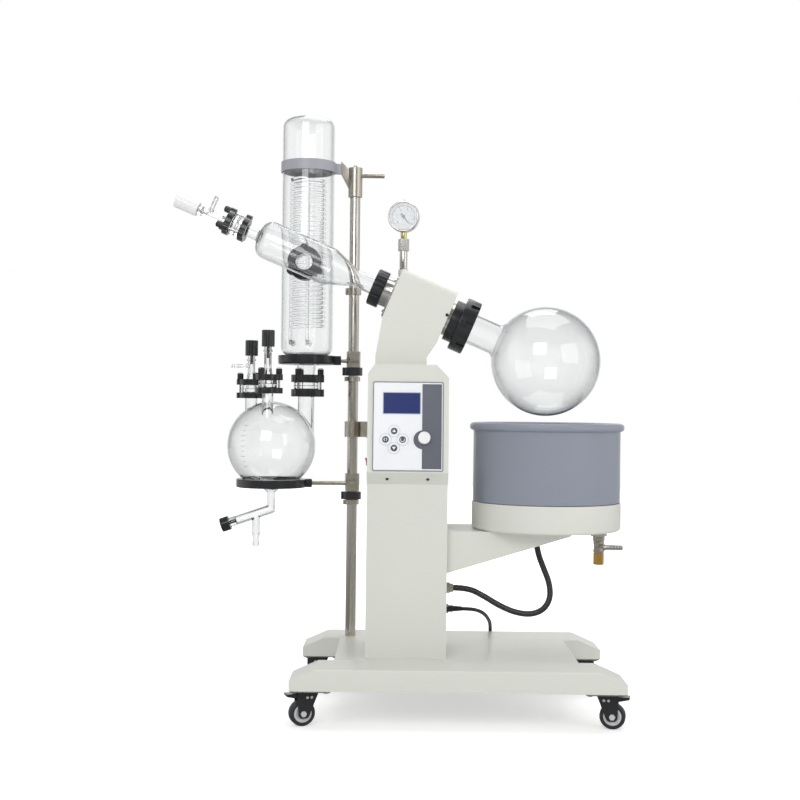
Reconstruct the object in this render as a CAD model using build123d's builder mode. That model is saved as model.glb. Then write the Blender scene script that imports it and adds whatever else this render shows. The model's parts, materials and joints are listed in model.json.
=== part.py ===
from build123d import *
from math import cos, pi, radians, sin, sqrt, tan
import os

# A floor-standing rotary evaporator: a tilted, motor-driven flask over a heated bath on a lifting arm,
# and a glass vapour duct that leads to an upright coil condenser above a receiving flask.
# Origin: floor level under the centre of the wheeled base. +X is the bath's side, +Y the back, +Z up.

# General fits and walls, in millimetres
running = 0.05          # radial clearance of a shaft in its bore
clearance = 0.3         # between pieces that move past each other
glass_wall = 3.0
sheet = 3.0             # folded steel sheet of the housings

# Wheeled base
beam_length = 800.0
beam_width = 120.0
beam_height = 52.0
beam_bottom = 93.0
beam_centre_y = 215.0
beam_end_height = 24.0
beam_slope_length = 64.0
beam_edge_round = 4.0
deck_length = 600.0
deck_height = 30.0
beam_top = beam_bottom + beam_height
deck_width = 2 * beam_centre_y - beam_width

# Casters
caster_inset = 50.0
caster_x = beam_length / 2 - caster_inset
caster_y = beam_centre_y - 2.0
caster_plate_length = 96.0
caster_plate_thickness = 3.0
caster_bolt_spacing_x = 74.0
caster_bolt_spacing_y = 92.0
caster_bolt_radius = 6.5
caster_bolt_height = 4.0
kingpin_radius = 5.0
swivel_radius = 25.0
swivel_thickness = 6.0
caster_trail = 24.0
wheel_radius = 31.0
wheel_width = 25.0
wheel_edge_round = 5.0
wheel_dish_radius = 22.0
wheel_dish_depth = 4.0
hub_radius = 11.0
hub_width = 28.0
caster_axle_radius = 4.0
caster_nut_radius = 6.5
caster_nut_height = 3.5
fork_gap = 29.0
fork_sheet = 3.0
fork_foot_round = 10.0
fork_back = 14.0
fork_front = 38.0
fork_skirt_z = 66.0
fork_foot_reach = 12.0
fork_foot_drop = 11.0
pedal_pin_radius = 2.5
pedal_pivot_along = 30.0
pedal_pivot_height = 72.0
pedal_width = 26.0
pedal_root = 24.0
pedal_neck = 42.0
pedal_reach = 66.0
pedal_bottom = 68.0
pedal_top = 79.0
pedal_lift = 5.0
pedal_root_thickness = 8.0
caster_plate_bottom = beam_bottom - caster_plate_thickness
swivel_top = caster_plate_bottom - clearance
swivel_bottom = swivel_top - swivel_thickness

# Column with the tilted control console
column_left = -225.0
column_right = -25.0
column_front = -132.0
column_back = 120.0
column_top = 871.0
column_shoulder_right = (30.0, 32.0)
column_shoulder_left = (16.0, 23.0)
console_top = 832.0
console_bottom = 605.0
console_band_bottom = 575.0
console_lean = 30.0
panel_width = 174.0
panel_height = 221.0
panel_thickness = 3.0
display_width = 91.5
display_height = 52.5
display_place = (-15.75, 57.0)
display_recess = 1.2
keypad_place = (-34.0, -33.0)
key_spacing = 21.0
key_radius = 9.8
key_height = 0.8
knob_place = (40.0, -29.0)
knob_radius = 15.0
knob_height = 16.0
knob_edge_round = 2.5
knob_pin_radius = 3.0
band_screw_spacing = 100.0
band_screw_radius = 4.0
band_screw_height = 1.6
rocker_y = -146.0
rocker_z = 632.0
rocker_width = 14.0
rocker_length = 21.0
rocker_thickness = 9.0
rocker_proud = 4.0
rocker_pin_radius = 1.5
rocker_pin_room = 1.5
rocker_tilt = 8.0
rocker_well_depth = 14.0
column_middle_x = (column_left + column_right) / 2

# Axis of the drive head and of everything that turns with the flask
head_tilt = 23.0
flask_x = 227.0
flask_z = 887.0
flask_radius = 140.0
neck_radius = 39.0
nut_front = 208.0
nut_radius = 70.0
nut_back = 246.0
nut_seat = 222.0
nut_cavity_radius = 50.0
nut_notches = 8
nut_notch_width = 15.0
nut_notch_depth = 5.0
flange_joint = 232.0
lock_ring_back = 268.0
lock_ring_radius = 54.0
collar_radius = 44.0
head_front = 276.0
head_back = 427.0
head_half_height = 65.0
head_half_width = 80.0
head_edge_round = 16.0
head_foot_left = -209.0
head_foot_right = -80.0
head_foot_height = 22.0
shaft_radius = 30.0
shaft_bore_radius = 22.0
shaft_stub_radius = 20.0
shaft_end = 438.0
bearing_radius = 42.0
bearing_width = 18.0
bearing_inset = 4.0
seal_front = 430.0
seal_back = 437.0

# Gear pair between the motor and the hollow shaft
gear_module = 3.0
wheel_teeth = 32
pinion_teeth = 12
gear_front = 350.0
gear_width = 24.0
gear_backlash = 0.8
gear_addendum = 0.7 * gear_module
gear_dedendum = gear_module
gear_room = 3.0
motor_front = 300.0
motor_radius = 25.0
motor_shaft_radius = 5.0
motor_shaft_depth = 28.0
wheel_pitch_radius = gear_module * wheel_teeth / 2
pinion_pitch_radius = gear_module * pinion_teeth / 2
gear_distance = wheel_pitch_radius + pinion_pitch_radius

# Glass vapour duct and its couplings, as distances along the head axis
adapter_plate_back = 432.0
adapter_plate_top = 42.0
adapter_plate_half_width = 72.0
adapter_radius = 39.0
adapter_bore_radius = 33.0
adapter_seat = 440.0
adapter_back = 454.0
duct_nut_back = 484.0
duct_nut_radius = 48.0
duct_nut_groove_count = 12
duct_neck_radius = 22.0
duct_cone_front = 533.0
duct_cone_back = 607.0
duct_radius = 49.5
duct_end = 803.0
duct_end_round = 28.0
duct_spout_radius = 14.5
duct_spout_round = 6.0
duct_neck_round = 30.0
duct_shoulder_round = 40.0
feed_joint = 866.5
port_x = -400.0
port_drop = 12.15
port_z = flask_z + (flask_x - port_x) * tan(radians(head_tilt)) - port_drop
port_radius = 25.0
port_root_y = 20.0
port_joint_y = 75.0

# Feed valve on the end of the duct
feed_tube_end = 974.0
feed_nipple_along = 943.0
feed_nipple_radius = 5.75
feed_nipple_length = 50.0
feed_cap_radius = 19.0
feed_cap_end = 1036.0
stem_radius = 4.0
feed_stem_depth = 26.0
vacuum_stem_depth = 22.0
release_stem_depth = 30.0
discharge_stem_depth = 16.0
nipple_bore_radius = 3.0
nipple_shoulder = 2.0
nipple_shoulder_length = 4.0

# Condenser
condenser_x = -400.0
condenser_y = 170.0
condenser_radius = 70.0
condenser_bottom = 901.0
condenser_top = 1540.0
condenser_top_round = 26.0
condenser_foot_round = 22.0
outlet_neck_top_radius = 27.5
outlet_neck_radius = 22.5
outlet_joint = 820.0
coil_radius = 45.0
coil_tube_radius = 5.5
coil_turns = 15
coil_bottom = 975.0
coil_top = 1376.0
coolant_z = 938.0
coolant_nipple_radius = 7.0
coolant_nipple_step = 250.0
coolant_nipple_back = 276.0
strap_bottom = 1394.0
strap_height = 28.0
strap_thickness = 4.0
strap_ear_length = 14.0

# Flange clamps: two lobed rings drawn together by three knurled screws
clamp_screw_radius = 3.0
clamp_hole_gap = 0.2
clamp_lobe_radius = 10.0
clamp_knob_radius = 8.5
clamp_knob_height = 16.0
clamp_flat_head = 3.0

# Receiving flask
receiver_x = -490.0
receiver_y = 150.0
receiver_z = 659.0
receiver_radius = 118.0
receiver_side_neck = (-546.0, 150.0)
receiver_side_neck_radius = 16.5
receiver_side_joint = 810.0
receiver_front_neck = (-494.0, 75.0)
receiver_front_neck_radius = 15.0
receiver_front_joint = 822.5
valve_tube_radius = 10.0
valve_waist_length = 16.0
valve_cone_end = 30.0
vacuum_cap_bottom = 898.0
vacuum_cap_top = 940.0
vacuum_nipple_end_x = -601.0
vacuum_nipple_z = 871.0
vacuum_nipple_radius = 4.7
release_cap_bottom = 920.0
release_cap_top = 964.0
cap_radius = 17.0
cap_groove_count = 16
cap_groove_radius = 1.4
discharge_drop_radius = 12.0
discharge_elbow_z = 488.0
discharge_slope = 19.0
discharge_tube_radius = 13.0
discharge_tube_length = 116.0
discharge_guide = 20.0
discharge_cap_radius = 19.0
discharge_cap_length = 24.0
spout_x = -529.0
spout_top_radius = 11.5
spout_waist_z = 422.0
spout_tip_radius = 9.5
spout_tip_z = 389.0

# Support pole, its rings and its boss heads
pole_x = -274.0
pole_y = 186.0
pole_radius = 14.0
pole_top = 1409.0
holder_rod_radius = 5.75
condenser_ring_bottom = 877.0
condenser_ring_radius = 76.5
condenser_ring_bore = 34.0
flask_ring_bottom = 547.0
flask_ring_height = 22.0
flask_ring_radius = 93.0
ring_lug_length = 16.0
ring_lug_width = 26.0
upper_boss = (872.0, 914.0)
lower_boss = (537.0, 584.0)
boss_width = 36.0
boss_screw_radius = 4.0
boss_screw_length = 16.0
boss_wing_radius = 10.0
boss_wing_thickness = 5.0
top_boss = (1333.0, 1409.0)
top_boss_radius = 19.0
top_handle_radius = 6.5
top_handle_reach = 62.0
top_handle_z = 1392.0
top_cap_height = 3.0
top_screw_height = 7.0
top_screw_radius = 5.0
black_collars = ((849.0, 871.0), (514.0, 535.0))
black_collar_radius = 25.0
steel_collars = ((834.0, 846.0), (500.0, 512.0), (1068.0, 1086.0))
steel_collar_radius = 19.0
collar_lug = 4.5
collar_lug_width = 8.0
collar_slot = 1.5
stay_bottom = 683.0
stay_height = 42.0
stay_thickness = 8.0
stay_foot_y = 84.0
bracket_drop = 20.0
bracket_rise = 6.0

# Vacuum gauge on the head
gauge_x = -141.0
gauge_radius = 40.0
gauge_depth = 30.0
gauge_turn = 8.0
gauge_bezel = 4.0
gauge_dial_recess = 7.0
gauge_boss_radius = 13.0
gauge_boss_bottom = 1100.0
gauge_boss_top = 1118.0
gauge_stem_radius = 10.0
gauge_stem_length = 48.0
gauge_stem_top = gauge_boss_top + gauge_stem_length
gauge_hex = 25.0
gauge_hex_length = 31.0
gauge_hex_top = gauge_stem_top + gauge_hex_length
gauge_fitting_length = 57.0
gauge_z = gauge_hex_top + gauge_fitting_length
gauge_fitting_radius = 8.0
needle_length = 26.0
needle_tail = 10.0
needle_angle = -52.0
needle_pin_radius = 1.5
needle_thickness = 1.0

# Heated bath and its lifting arm
bath_x = 232.0
bath_bottom = 458.0
bath_housing_radius = 190.0
bath_housing_top = 528.0
bath_housing_wall = 6.0
pot_radius = 187.5
pot_bore_radius = 172.0
pot_floor = 12.0
pot_corner_round = 30.0
pot_bead_radius = 9.5
pot_bead_z = 720.0
heater_radius = 165.0
heater_thickness = 12.0
arm_half_width = 105.0
arm_root_bottom = 353.0
arm_tip_x = 284.0
arm_tip_bottom = 448.0
arm_hatch = (150.0, 262.0, 60.0)
lift_travel = 140.0
carriage_bottom = 365.0
carriage_top = 450.0
carriage_half_width = 85.0
carriage_left = -165.0
carriage_right = -60.0
tongue_half_width = 38.0
slot_room = 4.0
guide_radius = 8.0
guide_spacing = 120.0
guide_top = 700.0
guide_bridge_thickness = 12.0
guide_bridge_length = 60.0
actuator_radius = 25.0
actuator_top = 300.0
actuator_rod_radius = 10.0
actuator_floor = 8.0

# Drain valve under the bath
drain_x = 369.0
drain_neck_radius = 10.0
drain_plate_top = 448.0
drain_plate_bottom = 440.0
drain_plate_radius = 18.0
drain_body_radius = 12.0
drain_body_bottom = 398.0
drain_barb_z = 411.0
drain_guide = 22.0
drain_barb_radius = 6.4
drain_barb_end = 430.0
drain_barb_bore = 4.0
drain_plug_bottom = 367.0
drain_plug_hex = 24.0

# Cable and conduit glands on the column
conduit_z = 303.0
conduit_radius = 8.0
conduit_gland_hex = 24.0
gland_length = 21.0
cord_exit_y = 80.0
cord_exit_z = 237.0
cord_radius = 5.0
cord_gland_hex = 21.0

# Flexible conduit from the column to the bath arm, as points along its run
conduit_route = (
    (-4, 0, 303), (34, 0, 303), (73, 0, 284), (114, 0, 259), (156, 0, 241), (198, 0, 236),
    (231, 0, 250), (247, 0, 281), (243, 0, 320), (227, 0, 358), (212, 0, 397), (206, 0, 436),
)

# Mains cord: over the back edge of the base, down to the floor and into a flat coil
cord_route = (
    (-4, 80, 237), (31, 80, 237), (62, 97, 232), (86, 135, 216), (101, 187, 192), (109, 242, 171),
    (113, 290, 145), (115, 316, 104), (115, 336, 62), (109, 360, 26), (89, 386, 7.5),
    (56, 404, 5.3), (20, 410, 6.5),
)
cord_coil_x = 20.0
cord_coil_y = 350.0
cord_coil_radius = 55.0
cord_coil_half_width = 11.0
cord_coil_height = 21.0
cord_coil_round = 4.0
plug_stub_length = 48.0
plug_width = 32.0
plug_height = 20.0
plug_edge_round = 5.0
plug_length = 42.0
plug_sleeve_length = 26.0
plug_sleeve_radius = 6.0
plug_pin_length = 18.0
plug_pin_radius = 2.4
plug_pin_spacing = 19.0

# Directions and planes that the pieces share
up = Vector(0, 0, 1)
towards_front = Vector(0, -1, 0)
flask_centre = Vector(flask_x, 0, flask_z)
head_axis = Vector(-cos(radians(head_tilt)), 0, sin(radians(head_tilt)))
head_up = Vector(sin(radians(head_tilt)), 0, cos(radians(head_tilt)))


def on_axis(along, above=0.0):
    """Point at a distance along the head axis from the flask's centre, and above the axis."""
    return flask_centre + head_axis * along + head_up * above


def spin_plane(origin, direction):
    """Plane whose Y runs along a direction that has no Y part, so X is the radius of a turned piece."""
    return Plane(origin=origin, x_dir=direction.cross(towards_front), z_dir=towards_front)


def upright(x, y, z=0.0):
    return spin_plane(Vector(x, y, z), up)


def outline(points, plane):
    """Closed outline on a plane; a third number on a point is the radius of its round."""
    with BuildSketch(plane) as shape:
        with BuildLine():
            Polyline(*[point[:2] for point in points], close=True)
        make_face()
        for x, y, radius in [point for point in points if len(point) == 3]:
            fillet(shape.vertices().sort_by_distance((x, y, 0))[0], radius)
    return shape.sketch


def turn(points, plane, mode=Mode.ADD):
    """Turn an outline of radius and height pairs about the plane's Y axis."""
    revolve(outline(points, plane), axis=Axis(plane.origin, plane.y_dir), mode=mode)


def rod(start, end, radius, mode=Mode.ADD):
    """Round bar between two points."""
    run = Vector(*end) - Vector(*start)
    with BuildSketch(Plane(origin=start, z_dir=run)) as section:
        Circle(radius)
    extrude(section.sketch, amount=run.length, mode=mode)


def hexagon(start, end, across_flats, mode=Mode.ADD):
    """Hexagonal bar between two points."""
    run = Vector(*end) - Vector(*start)
    with BuildSketch(Plane(origin=start, z_dir=run)) as section:
        RegularPolygon(across_flats / 2, 6, major_radius=False)
    extrude(section.sketch, amount=run.length, mode=mode)


def block(x_span, y_span, z_span, mode=Mode.ADD):
    """Box between two values on each axis."""
    size = [span[1] - span[0] for span in (x_span, y_span, z_span)]
    middle = [(span[0] + span[1]) / 2 for span in (x_span, y_span, z_span)]
    with Locations(tuple(middle)):
        Box(*size, mode=mode)


def grooves(plane, radius, count, groove_radius, length):
    """Cut evenly spaced round grooves into the rim of a turned piece, from the plane upwards."""
    with BuildSketch(plane) as cuts:
        with PolarLocations(radius, count):
            Circle(groove_radius)
    extrude(cuts.sketch, amount=length, mode=Mode.SUBTRACT)


def bend_radii(points):
    """Largest arc that the two runs at each inner point allow."""
    path = [Vector(*point) for point in points]
    radii = []
    for before, here, after in zip(path, path[1:], path[2:]):
        half_turn = radians((here - before).get_angle(after - here)) / 2
        shorter = min((here - before).length, (after - here).length)
        radii.append(0.45 * shorter / tan(half_turn))
    return radii


def hose(points, radius):
    """Tube of straight runs joined by tangent arcs; returns its length and its arc radii."""
    radii = bend_radii(points)
    with BuildLine() as route:
        FilletPolyline(*points, radius=radii)
    path = route.wires()[0]
    with BuildSketch(Plane(origin=points[0], z_dir=Vector(*points[1]) - Vector(*points[0]))) as section:
        Circle(radius)
    sweep(section.sketch, path=path)
    return path.length, radii


def finish(piece, name):
    piece.part.label = name
    export_step(piece.part, f"parts/{name}.step")


os.makedirs("parts", exist_ok=True)

# Base beams: channels with sloping ends
slope_corner = beam_length / 2 - beam_slope_length
beam_outline = [
    (-beam_length / 2, beam_bottom),
    (-beam_length / 2, beam_bottom + beam_end_height),
    (-slope_corner, beam_top),
    (slope_corner, beam_top),
    (beam_length / 2, beam_bottom + beam_end_height),
    (beam_length / 2, beam_bottom),
]
for beam_name, beam_side in (("front_beam", -1), ("rear_beam", 1)):
    with BuildPart() as beam:
        beam_plane = Plane(origin=(0, beam_side * beam_centre_y, 0), x_dir=(1, 0, 0), z_dir=towards_front)
        extrude(outline(beam_outline, beam_plane), amount=beam_width / 2, both=True)
        fillet(beam.edges().filter_by(Plane.XZ).group_by(Axis.Z)[-1], beam_edge_round)
        offset(amount=-sheet, openings=beam.faces().sort_by(Axis.Z)[0])
    finish(beam, beam_name)

# Deck plate between the beams
with BuildPart() as deck:
    half_deck = (deck_length / 2, deck_width / 2)
    block((-half_deck[0], half_deck[0]), (-half_deck[1], half_deck[1]), (beam_top - deck_height, beam_top))
    offset(amount=-sheet, openings=deck.faces().sort_by(Axis.Z)[0])
finish(deck, "deck_plate")

# Caster plates under the beams, each with four bolt heads and a bore for the kingpin
caster_corners = [(x * caster_x, y * caster_y) for x in (-1, 1) for y in (-1, 1)]
with BuildPart() as caster_plates:
    with BuildSketch(Plane.XY.offset(caster_plate_bottom)):
        for corner_x, corner_y in caster_corners:
            with Locations((corner_x, beam_centre_y if corner_y > 0 else -beam_centre_y)):
                Rectangle(caster_plate_length, beam_width)
    extrude(amount=caster_plate_thickness)
    with BuildSketch(Plane.XY.offset(caster_plate_bottom)):
        with Locations(*caster_corners):
            with GridLocations(caster_bolt_spacing_x, caster_bolt_spacing_y, 2, 2):
                RegularPolygon(caster_bolt_radius, 6)
    extrude(amount=-caster_bolt_height)
    with BuildSketch(Plane.XY.offset(caster_plate_bottom)):
        with Locations(*caster_corners):
            Circle(kingpin_radius + running)
    extrude(amount=caster_plate_thickness, mode=Mode.SUBTRACT)
finish(caster_plates, "caster_plates")

# Casters: a swivelling fork with its axle, a wheel, and a brake pedal on the two front ones
caster_layout = (
    ("front_left", -caster_x, -caster_y, 200.0, True),
    ("front_right", caster_x, -caster_y, -12.0, True),
    ("rear_left", -caster_x, caster_y, 165.0, False),
    ("rear_right", caster_x, caster_y, 20.0, False),
)
fork_outline = [
    (-fork_back, swivel_bottom),
    (fork_front, swivel_bottom),
    (fork_front, fork_skirt_z),
    (caster_trail + fork_foot_reach, wheel_radius - fork_foot_drop, fork_foot_round),
    (caster_trail - fork_foot_reach, wheel_radius - fork_foot_drop, fork_foot_round),
]
pedal_outline = [
    (pedal_root, pedal_bottom, 2), (pedal_neck, pedal_bottom),
    (pedal_reach - 2, pedal_bottom + pedal_lift, 2), (pedal_reach, pedal_top, 2),
    (pedal_neck, pedal_top), (pedal_root, pedal_bottom + pedal_root_thickness, 2),
]
for caster_name, swivel_x, swivel_y, heading, braked in caster_layout:
    ahead = Vector(cos(radians(heading)), sin(radians(heading)), 0)
    across = ahead.cross(up)
    fork_side = Plane(origin=(swivel_x, swivel_y, 0), x_dir=ahead, z_dir=across)
    axle_centre = Vector(swivel_x, swivel_y, wheel_radius) + ahead * caster_trail
    pedal_pivot = Vector(swivel_x, swivel_y, pedal_pivot_height) + ahead * pedal_pivot_along
    outer = fork_gap / 2 + fork_sheet
    with BuildPart() as fork:
        rod((swivel_x, swivel_y, swivel_bottom), (swivel_x, swivel_y, swivel_top), swivel_radius)
        rod((swivel_x, swivel_y, swivel_top), (swivel_x, swivel_y, beam_bottom), kingpin_radius)
        for leg_start in (fork_gap / 2, -outer):
            extrude(outline(fork_outline, fork_side.offset(leg_start)), amount=fork_sheet)
        with BuildSketch(Plane(origin=(swivel_x, swivel_y, swivel_bottom), x_dir=ahead, z_dir=up)) as web:
            with Locations(((fork_front - fork_back) / 2, 0)):
                Rectangle(fork_front + fork_back, fork_gap + 2 * fork_sheet)
        extrude(web.sketch, amount=fork_sheet)
        rod(axle_centre - across * outer, axle_centre + across * outer, caster_axle_radius)
        for side in (-1, 1):
            nut_start = axle_centre + across * side * outer
            hexagon(nut_start, nut_start + across * side * caster_nut_height, 2 * caster_nut_radius)
        if braked:
            for leg_start in (fork_gap / 2, -outer):
                bore_start = pedal_pivot + across * leg_start
                rod(bore_start, bore_start + across * fork_sheet, pedal_pin_radius + running, Mode.SUBTRACT)
    finish(fork, f"caster_fork_{caster_name}")
    with BuildPart() as caster_wheel:
        wheel_plane = Plane(origin=axle_centre, x_dir=up, z_dir=up.cross(across))
        half = wheel_width / 2
        bore = caster_axle_radius + running
        turn(
            [
                (bore, -hub_width / 2), (hub_radius, -hub_width / 2),
                (hub_radius, -half + wheel_dish_depth), (wheel_dish_radius, -half + wheel_dish_depth),
                (wheel_dish_radius, -half), (wheel_radius, -half, wheel_edge_round),
                (wheel_radius, half, wheel_edge_round), (wheel_dish_radius, half),
                (wheel_dish_radius, half - wheel_dish_depth), (hub_radius, half - wheel_dish_depth),
                (hub_radius, hub_width / 2), (bore, hub_width / 2),
            ],
            wheel_plane,
        )
    finish(caster_wheel, f"caster_wheel_{caster_name}")
    if braked:
        with BuildPart() as pedal:
            extrude(outline(pedal_outline, fork_side), amount=pedal_width / 2, both=True)
            rod(pedal_pivot - across * outer, pedal_pivot + across * outer, pedal_pin_radius)
        finish(pedal, f"caster_pedal_{caster_name}")

# Column housing: folded sheet with a leaning console in front and a slot for the lifting arm
column_outline = [
    (column_left, beam_top),
    (column_right, beam_top),
    (column_right, column_top - column_shoulder_right[1]),
    (column_right - column_shoulder_right[0], column_top),
    (column_left + column_shoulder_left[0], column_top),
    (column_left, column_top - column_shoulder_left[1]),
]
side_plane = Plane(origin=(column_left, 0, 0), x_dir=(0, 1, 0), z_dir=(1, 0, 0))
console_front = column_front - console_lean
console_rise = console_top - console_bottom
console_normal = Vector(0, -console_rise, console_lean).normalized()
console_middle = Vector(
    column_middle_x, (column_front + console_front) / 2, (console_top + console_bottom) / 2)
console_plane = Plane(origin=console_middle, x_dir=(1, 0, 0), z_dir=console_normal)
band_drop = console_bottom - console_band_bottom
band_normal = Vector(0, -band_drop, -console_lean).normalized()
band_middle = Vector(column_middle_x, (column_front + console_front) / 2, console_bottom - band_drop / 2)
band_plane = Plane(origin=band_middle, x_dir=(1, 0, 0), z_dir=band_normal)
slot_bottom = carriage_bottom - slot_room
slot_top = carriage_top + lift_travel + slot_room
rocker_pivot = Vector(column_left + rocker_pin_radius + rocker_pin_room, rocker_y, rocker_z)
with BuildPart() as column:
    column_middle_y = (column_front + column_back) / 2
    column_plane = Plane(origin=(0, column_middle_y, 0), x_dir=(1, 0, 0), z_dir=towards_front)
    extrude(outline(column_outline, column_plane), amount=(column_back - column_front) / 2, both=True)
    offset(amount=-sheet, openings=column.faces().sort_by(Axis.Z)[0])
    console_outline = [
        (column_front, console_top), (console_front, console_bottom), (column_front, console_band_bottom),
    ]
    extrude(outline(console_outline, side_plane), amount=column_right - column_left)
    block((column_right - 2 * sheet, column_right + sheet),
          (-tongue_half_width - slot_room, tongue_half_width + slot_room),
          (slot_bottom, slot_top), Mode.SUBTRACT)
    with BuildSketch(band_plane) as band_screws:
        with GridLocations(band_screw_spacing, 1, 2, 1):
            Circle(band_screw_radius)
    extrude(band_screws.sketch, amount=band_screw_height)
    well = rocker_width / 2 + clearance
    block((column_left, column_left + rocker_well_depth), (rocker_y - well, rocker_y + well),
          (rocker_z - rocker_length / 2 - 2, rocker_z + rocker_length / 2 + 2), Mode.SUBTRACT)
    pin_reach = Vector(0, rocker_width / 2 + 2, 0)
    rod(rocker_pivot - pin_reach, rocker_pivot + pin_reach, rocker_pin_radius + running, Mode.SUBTRACT)
    with BuildSketch(console_plane) as knob_hole:
        with Locations(knob_place):
            Circle(knob_pin_radius + running)
    extrude(knob_hole.sketch, amount=-panel_thickness, mode=Mode.SUBTRACT)
finish(column, "column_housing")

# Control panel: display recess and a cross of raised membrane keys
with BuildPart() as console_panel:
    with BuildSketch(console_plane):
        Rectangle(panel_width, panel_height)
    extrude(amount=panel_thickness)
    fillet(console_panel.edges().filter_by(Axis(console_middle, console_normal)), 4)
    with BuildSketch(console_plane.offset(panel_thickness)):
        with Locations(display_place):
            Rectangle(display_width, display_height)
    extrude(amount=-display_recess, mode=Mode.SUBTRACT)
    with BuildSketch(console_plane.offset(panel_thickness)):
        with Locations(keypad_place):
            with PolarLocations(key_spacing, 4):
                Circle(key_radius)
    extrude(amount=key_height)
    with BuildSketch(console_plane):
        with Locations(knob_place):
            Circle(knob_pin_radius + running)
    extrude(amount=panel_thickness, mode=Mode.SUBTRACT)
finish(console_panel, "console_panel")

# Speed knob and its spindle
with BuildPart() as speed_knob:
    knob_base = console_plane.offset(panel_thickness + clearance)
    with BuildSketch(knob_base):
        with Locations(knob_place):
            Circle(knob_radius)
    extrude(amount=knob_height)
    knob_edges = speed_knob.edges().filter_by(GeomType.CIRCLE)
    fillet(knob_edges.sort_by(Axis(console_middle, console_normal))[-1], knob_edge_round)
    with BuildSketch(console_plane.offset(-panel_thickness)):
        with Locations(knob_place):
            Circle(knob_pin_radius)
    extrude(amount=2 * panel_thickness + clearance)
    with BuildSketch(knob_base.offset(knob_height)):
        with Locations((knob_place[0], knob_place[1] + knob_radius * 0.6)):
            Rectangle(2, knob_radius * 0.6)
    extrude(amount=-0.8, mode=Mode.SUBTRACT)
finish(speed_knob, "speed_knob")

# Rocker of the mains switch, on its own pin in a well on the left side
with BuildPart() as rocker:
    rocker_x = Vector(cos(radians(rocker_tilt)), 0, sin(radians(rocker_tilt)))
    rocker_plane = Plane(origin=rocker_pivot, x_dir=rocker_x, z_dir=towards_front)
    face = -rocker_proud - rocker_pin_radius - rocker_pin_room
    half_rocker = rocker_length / 2 - 1
    extrude(
        outline(
            [
                (face, -half_rocker, 1), (face + 2, 0, 20), (face, half_rocker, 1),
                (face + rocker_thickness, half_rocker - 2, 2), (face + rocker_thickness, 2 - half_rocker, 2),
            ],
            rocker_plane,
        ),
        amount=rocker_width / 2, both=True,
    )
    pin_end = Vector(0, rocker_width / 2 + 1.8, 0)
    rod(rocker_pivot - pin_end, rocker_pivot + pin_end, rocker_pin_radius)
finish(rocker, "power_switch")

# Drive head: a cast housing on the column, bored along the head axis
axial = spin_plane(flask_centre, head_axis)
gear_back = gear_front + gear_width
gear_axis_offset = head_up * -gear_distance
with BuildPart() as head:
    corners = [
        on_axis(head_front, head_half_height),
        on_axis(head_back, head_half_height),
        on_axis(head_back, -head_half_height),
        Vector(head_foot_left, 0, column_top + head_foot_height),
        Vector(head_foot_left, 0, column_top),
        Vector(head_foot_right, 0, column_top),
        Vector(head_foot_right, 0, column_top + head_foot_height),
        on_axis(head_front, -head_half_height),
    ]
    extrude(outline([(corner.X, corner.Z) for corner in corners], upright(0, 0)),
            amount=head_half_width, both=True)
    fillet(head.edges().filter_by(Axis(flask_centre, head_axis)).group_by(Axis(flask_centre, head_up))[-1],
           head_edge_round)
    rod((gauge_x, 0, gauge_boss_bottom), (gauge_x, 0, gauge_boss_top), gauge_boss_radius)
    rod(on_axis(head_front - 1), on_axis(head_back + 1), bearing_radius, Mode.SUBTRACT)
    rod(on_axis(gear_front - gear_room), on_axis(gear_back + gear_room),
        wheel_pitch_radius + gear_addendum + gear_room, Mode.SUBTRACT)
    rod(on_axis(gear_front - gear_room) + gear_axis_offset, on_axis(gear_back + gear_room) + gear_axis_offset,
        pinion_pitch_radius + gear_addendum + gear_room, Mode.SUBTRACT)
    rod(on_axis(motor_front) + gear_axis_offset, on_axis(gear_front) + gear_axis_offset,
        motor_radius, Mode.SUBTRACT)
finish(head, "head_housing")

# Shaft bearings at both ends of the head, and the lip seal against the shaft's stub
bearing_starts = (head_front + bearing_inset, head_back - bearing_inset - bearing_width)
with BuildPart() as bearings:
    for bearing_start in bearing_starts:
        bearing_ends = (on_axis(bearing_start), on_axis(bearing_start + bearing_width))
        rod(*bearing_ends, bearing_radius)
        rod(*bearing_ends, shaft_radius + running, Mode.SUBTRACT)
finish(bearings, "shaft_bearings")

with BuildPart() as seal:
    rod(on_axis(seal_front), on_axis(seal_back), adapter_bore_radius)
    rod(on_axis(seal_front), on_axis(seal_back), shaft_stub_radius + running, Mode.SUBTRACT)
finish(seal, "shaft_seal")

# Geared motor in the foot of the head
with BuildPart() as motor:
    motor_back = gear_front - gear_room
    rod(on_axis(motor_front) + gear_axis_offset, on_axis(motor_back) + gear_axis_offset, motor_radius)
    rod(on_axis(motor_back - motor_shaft_depth - 1) + gear_axis_offset,
        on_axis(gear_front) + gear_axis_offset, motor_shaft_radius + running, Mode.SUBTRACT)
finish(motor, "gear_motor")


def toothed_disc(along, offset_from_axis, teeth, first_angle):
    """Spur gear whose teeth are straight-sided trapezia on the root circle."""
    pitch_radius = gear_module * teeth / 2
    root = pitch_radius - gear_dedendum
    tip = pitch_radius + gear_addendum
    half_pitch_width = pi * gear_module / 4 - gear_backlash / 2
    flank = tan(radians(20))
    root_half = half_pitch_width + gear_dedendum * flank
    tip_half = half_pitch_width - gear_addendum * flank
    gear_plane = Plane(origin=on_axis(along) + offset_from_axis, x_dir=head_up, z_dir=head_axis)
    with BuildSketch(gear_plane) as profile:
        Circle(root)
        with PolarLocations(0, teeth, start_angle=first_angle):
            Polygon((root - 1, -root_half), (tip, -tip_half), (tip, tip_half), (root - 1, root_half),
                    align=None)
    extrude(profile.sketch, amount=gear_width)


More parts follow.
